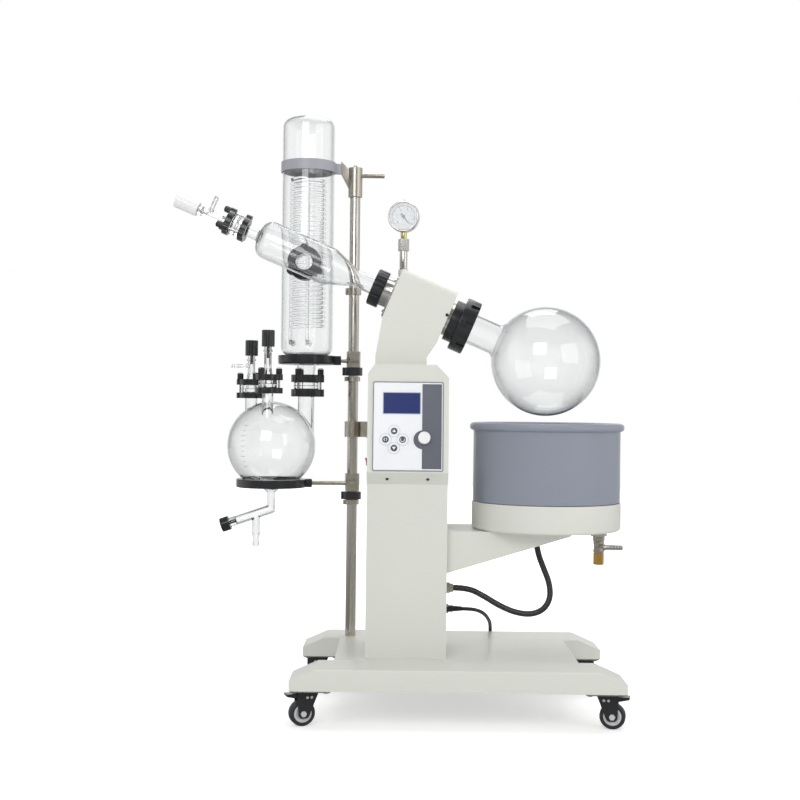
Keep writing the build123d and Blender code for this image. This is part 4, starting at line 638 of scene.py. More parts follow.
def end_tree(tree, geometry, start, end):
    """Close a tree with Realize Instances and Set Material."""
    real = add_node(tree, "GeometryNodeRealizeInstances", {0: geometry})
    paint = add_node(tree, "GeometryNodeSetMaterial", {
        "Geometry": real.outputs[0], "Material": start["Material"]})
    fill(tree, end, {"Geometry": paint.outputs[0]})
    return tree


def on_points(tree, start, end, shape):
    """Put a shape on the points of the geometry, each turned to the point's axis attribute."""
    axis = add_node(tree, "GeometryNodeInputNamedAttribute", {"Name": "axis"}, data_type="FLOAT_VECTOR")
    align = add_node(tree, "FunctionNodeAlignRotationToVector", {
        "Vector": axis.outputs["Attribute"]}, axis="Z")
    place = add_node(tree, "GeometryNodeInstanceOnPoints", {
        "Points": start["Geometry"], "Instance": shape, "Rotation": align.outputs[0]})
    return end_tree(tree, place.outputs[0], start, end)


def knurled_knobs():
    """Tree of knurled knobs on points."""
    tree, start, end = geometry_tree("knurled_knobs", [
        ("Radius", "Float", 0.0085), ("Height", "Float", 0.016), ("Sides", "Int", 14),
        ("Depth", "Float", 0.0009)])
    star = add_node(tree, "GeometryNodeCurveStar", {
        "Points": start["Sides"], "Outer Radius": start["Radius"],
        "Inner Radius": calculate(tree, "SUBTRACT", start["Radius"], start["Depth"])})
    base = add_node(tree, "GeometryNodeFillCurve", {"Curve": star.outputs["Curve"]}, mode="NGONS").outputs[0]
    extrude = add_node(tree, "GeometryNodeExtrudeMesh", {"Mesh": base, "Offset Scale": start["Height"]})
    flip = add_node(tree, "GeometryNodeFlipFaces", {"Mesh": base})
    both = add_node(tree, "GeometryNodeJoinGeometry")
    for half in (flip, extrude):
        fill(tree, both, {0: half.outputs[0]})
    whole = add_node(tree, "GeometryNodeMergeByDistance", {
        "Distance": WELD_DISTANCE, "Geometry": both.outputs[0]})
    return on_points(tree, start, end, whole.outputs[0])


def round_heads():
    """Tree of screw and rivet heads on points."""
    tree, start, end = geometry_tree("round_heads", [
        ("Radius", "Float", 0.004), ("Height", "Float", 0.002), ("Sides", "Int", 20)])
    cone = add_node(tree, "GeometryNodeMeshCone", {
        "Vertices": start["Sides"], "Radius Top": calculate(tree, "MULTIPLY", start["Radius"], 0.72),
        "Radius Bottom": start["Radius"], "Depth": start["Height"]})
    return on_points(tree, start, end, cone.outputs["Mesh"])


def ribbed_hose():
    """Tree of a tube along a curve whose radius swells and shrinks once each pitch."""
    tree, start, end = geometry_tree("ribbed_hose", [
        ("Radius", "Float", 0.008), ("Pitch", "Float", 0.0042), ("Depth", "Float", 0.0009),
        ("Sides", "Int", 20)])
    work = partial(calculate, tree)
    resample = add_node(tree, "GeometryNodeResampleCurve", mode="LENGTH")
    fill(tree, resample, {"Curve": start["Geometry"], "Length": work("DIVIDE", start["Pitch"], 6.0)})
    along = add_node(tree, "GeometryNodeSplineParameter").outputs["Length"]
    wave = work("COSINE", work("MULTIPLY", work("DIVIDE", along, start["Pitch"]), 2 * pi))
    sunk = work("MULTIPLY", work("SUBTRACT", wave, 1.0), start["Depth"])
    radius = work("ADD", work("MULTIPLY", sunk, 0.5), start["Radius"])
    swell = add_node(tree, "GeometryNodeSetCurveRadius", {"Curve": resample.outputs[0], "Radius": radius})
    section = add_node(tree, "GeometryNodeCurvePrimitiveCircle", {
        "Radius": 1.0, "Resolution": start["Sides"]})
    tube = add_node(tree, "GeometryNodeCurveToMesh", {
        "Curve": swell.outputs[0], "Profile Curve": section.outputs[0], "Fill Caps": True})
    if "Scale" in tube.inputs:
        fill(tree, tube, {"Scale": radius})
    return end_tree(tree, tube.outputs[0], start, end)


def grown(name, data, build, values):
    """Mesh that a tree makes on a mesh or curve; values go to the tree's inputs by name."""
    carrier = linked(name + "_carrier", data)
    tree = bpy.data.node_groups.get(build.__name__) or build()
    modifier = carrier.modifiers.new("Repeat", "NODES")
    modifier.node_group = tree
    identifiers = {item.name: item.identifier for item in tree.interface.items_tree if item.in_out == "INPUT"}
    for label, value in values.items():
        modifier[identifiers[label]] = value
    return applied(carrier, name)


def repeated(name, places, build, radius, height, sides, finish, **more):
    """One mesh of like pieces, on pairs of a point and a direction in millimetres."""
    points = bpy.data.meshes.new(name + "_points")
    points.from_pydata([Vector(point) * MM for point, axis in places], [], [])
    stored = points.attributes.new("axis", "FLOAT_VECTOR", "POINT")
    for place, (point, axis) in enumerate(places):
        stored.data[place].vector = Vector(axis).normalized()
    return grown(name, points, build, {
        "Radius": radius * MM, "Height": height * MM, "Sides": sides, "Material": finish_of(finish), **more})


def heads(name, places, radius, height, finish, sides, body="stand"):
    """Screw or rivet heads as a piece."""
    return add_piece(name, repeated(name, places, round_heads, radius, height, sides, finish), finish, body)


# Pieces of the evaporator, each made by its own operator


class CameraOperator(bpy.types.Operator):
    """Camera at the photograph's viewing angle"""

    bl_idname = "evaporator.camera"
    bl_label = "Camera"

    def execute(self, context):
        view = bpy.data.cameras.new("Camera")
        view.sensor_width = CAMERA_SENSOR
        view.lens = CAMERA_LENS
        view.shift_x, view.shift_y = CAMERA_SHIFT
        view.clip_end = 60.0
        camera = linked("Camera", view)
        turn = Matrix.Rotation(pi / 2, 4, "X") @ Matrix.Rotation(CAMERA_TURN, 4, "Z")
        camera.matrix_world = Matrix.Translation(CAMERA_PLACE) @ turn
        context.scene.camera = camera
        return {"FINISHED"}


def between(value, start, end):
    """Smooth share of the way from start to end."""
    share = min(max((value - start) / (end - start), 0.0), 1.0)
    return share * share * (3 - 2 * share)


def coiled_points():
    """Four turns: outer and inner on the floor, then inner and outer on top of them."""
    points = []
    for place in range(1, COIL_POINTS + 1):
        angle = COIL_START + COIL_STEP * place
        turn = radians(angle)
        radius = COIL_OUTER + (COIL_INNER - COIL_OUTER) * between(angle, *TURN_INWARDS)
        radius += (COIL_OUTER - COIL_INNER) * between(angle, *TURN_OUTWARDS)
        height = COIL_LOW + (COIL_HIGH - COIL_LOW) * between(angle, *CLIMB)
        control = radius / (0.75 + 0.25 * cos(radians(COIL_STEP)))
        points.append(COIL_CENTRE + Vector((control * cos(turn), control * sin(turn), height)))
    return points


class CordOperator(bpy.types.Operator):
    """Mains cord with its strain relief, its coil and its plug"""

    bl_idname = "evaporator.mains_cord"
    bl_label = "Mains cord"

    def execute(self, context):
        line = smooth_line("mains_cord", [*CORD_ROUTE, *coiled_points(), *CORD_TAIL], 6)
        line.bevel_depth = sizes().cord_diameter / 2
        line.bevel_resolution = 3
        line.use_fill_caps = True
        line.materials.append(finish_of("black_rubber"))
        cord = linked("mains_cord", line)
        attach(cord, "stand")
        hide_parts("power_cord", "cord_coil")
        relief = turned("cord_relief", [
            (0, 0), (8.6, 0, 0.6), (8.6, 4, 0.6), (7.2, 4.4), (7.2, 6.6), (7.7, 7), (7.7, 9), (6.9, 9.4),
            (6.9, 11.6), (7.2, 12), (7.2, 14), (6.5, 14.4), (6.5, 16.6), (6.8, 17), (6.8, 19), (6.1, 19.4),
            (6.1, 21.6), (6.3, 22), (5.9, 27, 0.5), (0, 27)], (-4.5, 80, 237), (1, 0, 0), 40, 3)
        relief_piece = add_piece("cord_relief", relief, "black_rubber", "stand", smooth=50)
        plug = dressed("power_plug", "black_rubber", 0.0012)
        across = Vector((cos(TIE_TURN), sin(TIE_TURN), 0))
        outer = box_outline(24.4, 22.0, 5.0, TIE_MIDDLE)
        inner = box_outline(22.8, 20.8, 4.6, TIE_MIDDLE)
        corners = ((outer, -1), (outer, 1), (inner, 1), (inner, -1))
        rings = [[COIL_CENTRE / MM + across * x + UP * z + across.cross(UP) * side * TIE_HALF_WIDTH
                  for x, z in outline] for outline, side in corners]
        tie_piece = add_piece("cord_tie", hoop("cord_tie", rings), "black_plastic", "stand")
        return {"FINISHED"}


class HousingOperator(bpy.types.Operator):
    """Powder-coated housings: base, column, drive head and bath arm; finishes of what they hide"""

    bl_idname = "evaporator.housings"
    bl_label = "Housings"

    def execute(self, context):
        for node, width in (("front_beam", 0.0022), ("rear_beam", 0.0022), ("deck_plate", 0.0022),
                            ("column_housing", 0.0012), ("head_housing", 0.0016), ("bath_arm", 0.0012)):
            dressed(node, "enamel", width)
        dressed("caster_plates", "zinc_steel", 0.0005)
        for node, finish in (("shaft_bearings", "turned_steel"), ("shaft_seal", "black_rubber"),
                             ("gear_motor", "motor_alloy"), ("lift_guides", "turned_steel"),
                             ("lift_carriage", "zinc_steel"), ("bath_heater", "motor_alloy"),
                             ("drive_pinion", "turned_steel")):
            hidden = frame["nodes"][node].data
            hidden.materials.clear()
            hidden.materials.append(finish_of(finish))
        cover_screws = [((-30.0, side * 80.4, 998.0), (0, side, 0)) for side in (-1, 1)]
        heads("head_screws", cover_screws, 4.2, 1.6, "needle_black", 24)
        return {"FINISHED"}


PANEL_MIDDLE = Vector((-125.0, -147.0, 718.5))
PANEL_NORMAL = Vector((0.0, -227.0, 30.0)).normalized()
PANEL_RIGHT = Vector((1.0, 0.0, 0.0))
PANEL_UP = PANEL_NORMAL.cross(PANEL_RIGHT).normalized()
PANEL_FACE = 3.0
DISPLAY_MIDDLE = (-15.75, 57.0)
KEYS_MIDDLE = (-34.0, -33.0)
KNOB_MIDDLE = (37.0, -33.0)

# Membrane keys: name, place from the middle of the four, and the outlines printed on them
KEYS = (
    ("up", 0.0, 21.0, [[(-4.6, -2.8), (4.6, -2.8), (0, 4.4)]]),
    ("right", 21.0, 0.0, [arc_band(4.2, 5.6, 24, radians(150), radians(240))]),
    ("down", 0.0, -21.0, [[(-4.6, 2.8), (0, -4.4), (4.6, 2.8)]]),
    ("left", -21.0, 0.0, [arc_band(2.6, 4.4, 24, radians(start), radians(130)) for start in (115, -65)]),
)


def on_panel(x, y, above=0.0):
    return PANEL_MIDDLE + PANEL_RIGHT * x + PANEL_UP * y + PANEL_NORMAL * (PANEL_FACE + above)


def panel_print(name, outline, finish, above=0.12, thickness=0.1):
    """Thin film on the panel; the outline is in panel coordinates."""
    mesh = plate(name, outline, on_panel(0, 0, above), PANEL_RIGHT, PANEL_UP, thickness)
    return add_piece(name, mesh, finish, "stand", smooth=30)


class ConsoleOperator(bpy.types.Operator):
    """Control panel: films, display, membrane keys, knob, rocker and the screws below"""

    bl_idname = "evaporator.console"
    bl_label = "Console"

    def execute(self, context):
        dressed("console_panel", "panel_film", 0.0006)
        outer, inner = box_outline(174, 221, 4), box_outline(169.5, 216.5, 3)
        rings = [[on_panel(x, y, 0.05 + height) for x, y in outline]
                 for outline, height in ((outer, 0.0), (outer, 1.0), (inner, 1.0), (inner, 0.0))]
        rounded_edges(add_piece("panel_trim", hoop("panel_trim", rings), "panel_edge", "stand"), 0.0003)
        panel_print("panel_shade_band", box_outline(48, 210, 1.0, (58.5, 0.0)), "panel_shade")
        panel_print("knob_shade", circle_outline(23.5, 64, KNOB_MIDDLE), "panel_shade", above=0.24)
        panel_print("display_rim", box_outline(93.5, 54.5, 1.5, DISPLAY_MIDDLE), "print_grey", 0.1, 0.35)
        window = panel_print(
            "display_window", box_outline(89.5, 50.5, 1.0, DISPLAY_MIDDLE), "display_window", 0.3, 0.7)
        rounded_edges(window, 0.0002)
        for name, x, y, signs in KEYS:
            centre = (KEYS_MIDDLE[0] + x, KEYS_MIDDLE[1] + y)
            rim = turned(f"key_rim_{name}", [(14.1, 0), (14.8, 0), (14.8, 0.25), (14.1, 0.25)],
                         on_panel(*centre, 0.1), PANEL_NORMAL, 64)
            add_piece(f"key_rim_{name}", rim, "print_grey", "stand")
            dome = turned(f"key_disc_{name}", [(0, 0), (8.2, 0), (8.2, 0.4, 0.3), (0, 0.5)],
                          on_panel(*centre, 0.85), PANEL_NORMAL, 48, 3)
            add_piece(f"key_disc_{name}", dome, "print_dark", "stand")
            for place, sign in enumerate(signs):
                shifted = [(centre[0] + x, centre[1] + y) for x, y in sign]
                panel_print(f"key_sign_{name}_{place}", shifted, "panel_film", 1.32, 0.08)
        dressed("speed_knob", "white_plastic", 0.0009)
        dressed("power_switch", "red_plastic", 0.0006)
        band_normal = Vector((0, -30, -30)).normalized()
        band_middle = Vector((-125.0, -147.0, 590.0)) + band_normal * 1.2
        screws = [(band_middle + PANEL_RIGHT * side * 50, band_normal) for side in (-1, 1)]
        heads("band_screws", screws, 4.3, 2.2, "needle_black", 24)
        return {"FINISHED"}


class RotorOperator(bpy.types.Operator):
    """Rotating flask with its nut and shaft"""

    bl_idname = "evaporator.rotor"
    bl_label = "Rotating flask"

    def execute(self, context):
        rim = rounded([(39.0, 222.0), (50.0, 222.0, 1.5), (50.0, 232.0, 1.5), (36.0, 232.0)], 3)
        profile = bulb(140.0, 39.0, 14.0, 56) + rim + bulb(137.0, 36.0, 17.0, 56)[::-1]
        flask = turned("flask_glass", profile, FLASK_CENTRE, HEAD_AXIS, 128)
        add_piece("flask_glass", flask, "glass", "rotor", ("rotating_flask",), smooth=60)
        dressed("flask_nut", "black_plastic", 0.0016, 32)
        dressed("rotor_shaft", "turned_steel", 0.0004, 32)
        return {"FINISHED"}


# Screw heads of the clamps: radius, height and sides
TALL_HEAD, FLAT_HEAD, HEAD_END = (8.5, 15.0, 16), (7.5, 2.8, 6), (7.4, 1.4, 28)
SHANK_RADIUS = 2.9
GRIP_DEPTH = 1.0
SCREWS_ON_RING = 3

# Flange clamps: joint, direction, plane's X, screw circle, ring thickness, flange thickness, head, first turn
CLAMPS = (
    (along_head(866.5), HEAD_AXIS, (0, -1, 0), 30.0, 15.0, 14.0, 16.0, 90.0),
    ((-400, 75, 1141), (0, -1, 0), (1, 0, 0), 42.0, 15.0, 6.0, 3.0, 90.0),
    ((-400, 170, 820), UP, (1, 0, 0), 38.5, 20.0, 9.5, 16.0, 0.0),
    ((-546, 150, 810), UP, (1, 0, 0), 29.5, 15.0, 10.5, 16.0, 60.0),
    ((-494, 75, 822.5), UP, (1, 0, 0), 29.5, 15.0, 10.0, 16.0, 0.0),
)


class ClampOperator(bpy.types.Operator):
    """Flange clamps: lobed rings, screws with knurled heads or with flat hexagon ones"""

    bl_idname = "evaporator.clamps"
    bl_label = "Flange clamps"

    def execute(self, context):
        dressed("clamp_rings", "black_plastic", 0.0013, 32)
        shanks, tall, flat, caps = [], [], [], []
        for joint, direction, x_axis, circle, thick, flange, head, first in CLAMPS:
            direction = Vector(direction).normalized()
            x_axis = Vector(x_axis)
            y_axis = direction.cross(x_axis)
            top = flange + thick
            for turn in range(SCREWS_ON_RING):
                angle = radians(first + 360 / SCREWS_ON_RING * turn)
                middle = Vector(joint) + (x_axis * cos(angle) + y_axis * sin(angle)) * circle
                low, high = (middle + direction * along for along in (0.2 - flange, top + 0.5))
                shanks.append(bar("shank", low, high, SHANK_RADIUS, 20))
                is_tall = head > FLAT_HEAD[1] + 1
                (tall if is_tall else flat).append((middle + direction * (top + 0.15), direction))
                if is_tall:
                    caps.append((middle + direction * (top + head + 0.2), direction))
        plastic = "black_plastic"
        depth = GRIP_DEPTH * MM
        meshes = [repeated("clamp_knurls", tall, knurled_knobs, *TALL_HEAD, plastic, Depth=depth),
                  repeated("clamp_flats", flat, knurled_knobs, *FLAT_HEAD, plastic, Depth=depth),
                  repeated("clamp_knob_ends", caps, round_heads, *HEAD_END, plastic)]
        piece = add_piece("clamp_knobs", meshes, plastic, "stand", ("clamp_screws",), smooth=28)
        rounded_edges(piece, 0.0004, 1, 50)
        add_piece("clamp_shanks", shanks, "turned_steel", "stand")
        return {"FINISHED"}


class DuctOperator(bpy.types.Operator):
    """Vapour duct with its nut and the steel plate it is screwed to"""

    bl_idname = "evaporator.vapour_duct"
    bl_label = "Vapour duct"

    def execute(self, context):
        duct = blown("duct_glass", [
            ([(0, 440), (22, 440), (22, 533, 30), (49.5, 607, 40), (49.5, 803, 28), (14.5, 803, 6),
              (14.5, 852.5), (25.5, 852.5, 3), (25.5, 866.5, 1), (0, 866.5)],
             [(0, 439), (19, 439), (19, 533, 30), (46.5, 607, 40), (46.5, 800, 25), (11.5, 800),
              (11.5, 868), (0, 868)], FLASK_CENTRE, HEAD_AXIS, 112, 8, 8),
            ([(0, 20), (25, 20), (25, 69), (37.5, 69, 2), (37.5, 75, 1), (0, 75)],
             [(0, 20), (22, 20), (22, 76), (0, 76)], PORT_START, REARWARD, 72, 4, 0)])
        add_piece("duct_glass", duct, "glass", "stand", ("vapour_duct",), smooth=48)
        dressed("duct_nut", "black_plastic", 0.0014, 32)
        dressed("duct_adapter", "turned_steel", 0.0006)
        plate_screws = [(along_head(432.4, above) + Vector((0, side * 60, 0)), HEAD_AXIS)
                        for side in (-1, 1) for above in (-52.0, 30.0)]
        heads("adapter_screws", plate_screws, 4.5, 3.0, "turned_steel", 24)
        return {"FINISHED"}


# Glass valves: name, foot, direction, length, neck, flange radius and thickness, and the nipple's root,
# way, reach and radius
VALVES = (
    ("feed_valve_glass", along_head(866.5), HEAD_AXIS, 107.5, 14.5, 25.5, 14.0,
     (along_head(943.0), HEAD_UP, 50.0, 5.75)),
    ("vacuum_valve_glass", (-546, 150, 810), UP, 88.0, 16.5, 25.0, 10.5,
     ((-546, 150, 871), (-1, 0, 0), 55.0, 4.7)),
    ("release_valve_glass", (-494, 75, 822.5), UP, 97.5, 15.0, 25.0, 10.0, None),
)
VALVE_TUBE = 10.0
VALVE_LIP = VALVE_TUBE + 2.6
STEM_BORE, NIPPLE_BORE = 4.3, 2.6


class ValveOperator(bpy.types.Operator):
    """Glass valve bodies with their nipples and screw caps"""

    bl_idname = "evaporator.valves"
    bl_label = "Valves"

    def execute(self, context):
        meshes = []
        for name, foot, direction, length, neck, rim, flange, nipple in VALVES:
            waist = neck * 0.8
            bore = waist - GLASS_WALL
            shapes = [(
                [(0, 0), (rim, 0, 1), (rim, flange, 3), (waist, flange), (waist, flange + 16, 6),
                 (VALVE_TUBE, flange + 30, 6), (VALVE_TUBE, length - 14),
                 (VALVE_LIP, length - 12.5, 1.2), (VALVE_LIP, length - 9.5, 1.2),
                 (VALVE_TUBE, length - 8), (VALVE_TUBE, length, 1), (0, length)],
                [(0, -1), (bore, -1), (bore, flange + 14, 6), (STEM_BORE, flange + 28, 6),
                 (STEM_BORE, length + 1), (0, length + 1)], foot, direction, 64, 4, 4)]
            if nipple:
                root, way, reach, radius = nipple
                shapes.append((
                    [(0, 6), (radius + 2, 6), (radius + 2, 14, 1), (radius, 14, 1), (radius, reach - 18),
                     (radius + 0.9, reach - 16), (radius - 0.6, reach - 11), (radius + 0.7, reach - 10),
                     (radius - 0.8, reach - 5), (radius + 0.3, reach - 4), (radius - 1.2, reach), (0, reach)],
                    [(0, 3), (NIPPLE_BORE, 3), (NIPPLE_BORE, reach + 1), (0, reach + 1)],
                    root, way, 32, 2, 0))
            meshes.append(blown(name, shapes))
        add_piece("valve_glass", meshes, "thick_glass", "stand", ("valve_bodies",), smooth=45)
        dressed("feed_valve_cap", "white_plastic", 0.0006)
        for node in ("vacuum_valve_cap", "release_valve_cap", "discharge_cap"):
            dressed(node, "black_plastic", 0.0007, 30)
        return {"FINISHED"}


# Helix in the condenser, its tube, and the two nipples for the coolant
HELIX_RADIUS, HELIX_LOW, HELIX_HIGH, HELIX_STEPS = 45.0, 975.0, 1376.0, 24
COIL_TUBE, COIL_SIDES = 4.6, 10
NIPPLES_X, NIPPLE_HEIGHT = (-445.0, -400.0), 938


def coil_path():
    """Close helix with its down tube on the axis and two tails to the nipples."""
    steps = sizes().coil_turns * HELIX_STEPS
    path = [Vector((NIPPLES_X[0], y, z)) for y, z in (
        (229, NIPPLE_HEIGHT), (200, NIPPLE_HEIGHT), (176, 940), (170, 950), (170, 962))]
    for step in range(steps + 1):
        angle = pi + 2 * pi * step / HELIX_STEPS
        height = HELIX_LOW + (HELIX_HIGH - HELIX_LOW) * step / steps
        path.append(CONDENSER_AXIS + Vector((HELIX_RADIUS * cos(angle), HELIX_RADIUS * sin(angle), height)))
    return path + [CONDENSER_AXIS + Vector(point) for point in (
        (-22, 0, 1382), (-6, 0, 1380), (0, 0, 1366), (0, 0, 1200), (0, 0, 960), (0, 2, 944),
        (0, 12, NIPPLE_HEIGHT), (0, 66, NIPPLE_HEIGHT))]


class CondenserOperator(bpy.types.Operator):
    """Condenser jacket, its coil, strap and ring"""

    bl_idname = "evaporator.condenser"
    bl_label = "Condenser"

    def execute(self, context):
        shapes = [
            ([(0, 820), (34, 820, 1), (34, 829.5, 3), (22.5, 829.5), (22.5, 849.5, 8), (27.5, 885, 8),
              (27.5, 901, 4), (70, 901, 22), (70, 1540, 26), (0, 1540)],
             [(0, 819), (19.5, 819), (19.5, 849.5, 8), (24.5, 885, 8), (24.5, 904, 3), (67, 904, 19),
              (67, 1537, 23), (0, 1537)], CONDENSER_AXIS, UP, 128, 8, 8),
            ([(0, 75), (37.5, 75, 1), (37.5, 81, 2), (25, 81), (25, 135), (0, 135)],
             [(0, 74), (22, 74), (22, 170), (0, 170)], PORT_START, REARWARD, 72, 4, 0)]
        for nipple_x in NIPPLES_X:
            shapes.append((
                [(0, 210), (9, 210), (9, 250, 1.5), (7, 250, 1), (7, 252), (8, 254), (6.2, 260), (7.6, 261),
                 (5.8, 268), (6.6, 269), (5.2, 276), (0, 276)],
                [(0, 170), (4, 170), (4, 277), (0, 277)],
                (nipple_x, 0, NIPPLE_HEIGHT), REARWARD, 40, 2, 0))
        jacket = blown("jacket_glass", shapes)
        add_piece("jacket_glass", jacket, "pale_glass", "stand", ("condenser_jacket",), smooth=48)
        coil = tube_mesh("coil_glass", coil_path(), COIL_TUBE, COIL_SIDES)
        add_piece("coil_glass", coil, "faint_glass", "stand", ("condenser_coil",), smooth=60)
        dressed("condenser_strap", "strap_grey", 0.0012)
        dressed("condenser_ring", "black_plastic", 0.0012)
        return {"FINISHED"}


RECEIVER_CENTRE = Vector((-490.0, 150.0, 659.0))
RECEIVER_RADIUS = 118.0
DISCHARGE_SLOPE = radians(19)

# Graduation: how many strokes, the lowest and the step up, their turn, lengths, half width and segments
MARKS, MARK_LOWEST, MARK_RISE = 9, -54.0, 13.5
MARK_TURN = radians(236)
MARK_LONG, MARK_SHORT, MARK_HALF, MARK_LIFT, MARK_STEPS = 15.0, 9.0, 0.55, 0.15, 6

# Necks of the receiving flask: place, radius, height of the joint, radius and thickness of the flange
RECEIVER_NECKS = (
    (-400, 170, 22.5, 820.0, 34.0, 9.5), (-546, 150, 16.5, 810.0, 25.0, 10.5),
    (-494, 75, 15.0, 822.5, 25.0, 10.0),
)


def graduation_mark(place):
    """One stroke on the flask's skin; every second one is long."""
    level = MARK_RISE * place + MARK_LOWEST
    reach = MARK_LONG if place % 2 == 0 else MARK_SHORT
    skin = RECEIVER_RADIUS + MARK_LIFT
    half = reach / sqrt(skin**2 - level**2) / 2
    line = []
    for edge in (-MARK_HALF, MARK_HALF):
        for step in range(MARK_STEPS + 1):
            angle = MARK_TURN - half + 2 * half * step / MARK_STEPS
            spread = sqrt(skin**2 - (level + edge) ** 2)
            line.append(RECEIVER_CENTRE + Vector((spread * cos(angle), spread * sin(angle), level + edge)))
    points = line + [RECEIVER_CENTRE + (point - RECEIVER_CENTRE) * 1.0018 for point in line]
    faces = []
    for step in range(MARK_STEPS):
        faces += [(step, step + 1, 8 + step, 7 + step), (14 + step, 21 + step, 22 + step, 15 + step),
                  (step, 14 + step, 15 + step, step + 1), (7 + step, 8 + step, 22 + step, 21 + step)]
    return mesh_of("mark", points, faces + [(0, 7, 21, 14), (6, 20, 27, 13)])


class ReceiverOperator(bpy.types.Operator):
    """Receiving flask with its necks, discharge tube and graduation"""

    bl_idname = "evaporator.receiving_flask"
    bl_label = "Receiving flask"

    def execute(self, context):
        shapes = [(bulb(RECEIVER_RADIUS, 12.0, 12.0, 56) + [(12.0, 171.0), (0.0, 171.0)],
                   bulb(RECEIVER_RADIUS - GLASS_WALL, 9.0, 15.0, 56) + [(9.0, 171.0), (0.0, 171.0)],
                   RECEIVER_CENTRE, -UP, 128, 0, 0)]
        for x, y, neck, joint, rim, flange in RECEIVER_NECKS:
            shapes.append((
                [(0, 660), (neck, 660), (neck, joint - flange), (rim, joint - flange, 3),
                 (rim, joint, 1), (0, joint)],
                [(0, 680), (neck - GLASS_WALL, 680), (neck - GLASS_WALL, joint + 1), (0, joint + 1)],
                (x, y, 0), UP, 64, 4, 0))
        slope = Vector((-cos(DISCHARGE_SLOPE), 0, -sin(DISCHARGE_SLOPE)))
        shapes.append((
            [(0, -13), (13, -13, 12.5), (13, 116, 1), (0, 116)],
            [(0, -9), (9.5, -9, 8), (9.5, 96), (4.3, 100), (4.3, 117), (0, 117)],
            (-490.0, 150.0, 488.0), slope, 48, 8, 4))
        shapes.append((
            [(0, 389), (9.5, 389, 1), (9.5, 414, 6), (11.5, 422, 6), (11.5, 474), (0, 474)],
            [(0, 388), (6.5, 388), (6.5, 416, 4), (8.5, 424, 4), (8.5, 472), (0, 472)],
            (-529, 150, 0), UP, 48, 4, 4))
        flask = blown("receiver_glass", shapes)
        add_piece("receiver_glass", flask, "glass", "stand", ("receiving_flask",), smooth=48)
        dressed("flask_ring", "black_plastic", 0.0014)
        marks = [graduation_mark(place) for place in range(MARKS)]
        add_piece("graduation_marks", marks, "graduation", "stand")
        return {"FINISHED"}


POLE_FOOT, POLE_TOP, POLE_RADIUS = (-274, 186, 145), (-274, 186, 1409), 14.0


class PoleOperator(bpy.types.Operator):
    """Support pole with its boss heads and collars"""

    bl_idname = "evaporator.support_pole"
    bl_label = "Support pole"

    def execute(self, context):
        pole = bar("pole_finished", POLE_FOOT, POLE_TOP, POLE_RADIUS, 64, 1.5)
        add_piece("pole_finished", pole, "steel", "stand", ("support_pole",))
        dressed("boss_heads", "zinc_steel", 0.0009)
        dressed("pole_collars", "black_plastic", 0.0012)
        return {"FINISHED"}


GAUGE_TURN = radians(8)
GAUGE_FACE = Vector((-sin(GAUGE_TURN), -cos(GAUGE_TURN), 0.0))
GAUGE_RIGHT = UP.cross(GAUGE_FACE)
GAUGE_X, GAUGE_Z = -141.0, 1254.0
SCALE_START, SCALE_SWEEP = radians(225), radians(-270)
SCALE_PARTS, PARTS_PER_LONG = 50, 5
DIAL_DEPTH, DIAL_RADIUS = 8.0, 35.6
TICK_OUTER, LONG_TICK, SHORT_TICK = 28.6, (24.0, 0.45), (26.4, 0.22)
NUMBER_RADIUS, NUMBER_SIZE, HIGHEST_NUMBER = 19.6, 0.0062, 10


def on_dial(x, y, above=0.0):
    """Point on the gauge's dial."""
    return Vector((GAUGE_X, 0.0, GAUGE_Z)) + GAUGE_RIGHT * x + UP * y + GAUGE_FACE * (DIAL_DEPTH + above)


def dial_print(name, outline):
    """Thin print on the dial."""
    return plate(name, outline[::-1], on_dial(0, 0, 0.42), GAUGE_RIGHT, UP, 0.08)


def dial_tick(place):
    """One stroke of the scale; every fifth one is long and bold."""
    angle = SCALE_START + SCALE_SWEEP * place / SCALE_PARTS
    inner, width = SHORT_TICK if place % PARTS_PER_LONG else LONG_TICK
    way = Vector((cos(angle), sin(angle)))
    side = Vector((-way.y, way.x)) * width
    corners = [way * inner - side, way * TICK_OUTER - side, way * TICK_OUTER + side, way * inner + side]
    return dial_print("tick", [tuple(corner) for corner in corners])


def dial_number(place):
    """Plain number from 0 to 10 inside the scale."""
    angle = SCALE_START + SCALE_SWEEP * place / HIGHEST_NUMBER
    text = bpy.data.curves.new("dial_number", "FONT")
    text.body = str(place)
    text.size = NUMBER_SIZE
    text.align_x = "CENTER"
    text.align_y = "CENTER"
    text.extrude = 0.00004
    mesh = applied(linked("dial_number", text), "dial_number")
    turn = Matrix((GAUGE_RIGHT, UP, GAUGE_FACE)).transposed().to_4x4()
    place_on_dial = on_dial(NUMBER_RADIUS * cos(angle), NUMBER_RADIUS * sin(angle), 0.46)
    mesh.transform(Matrix.Translation(place_on_dial * MM) @ turn)
    return mesh


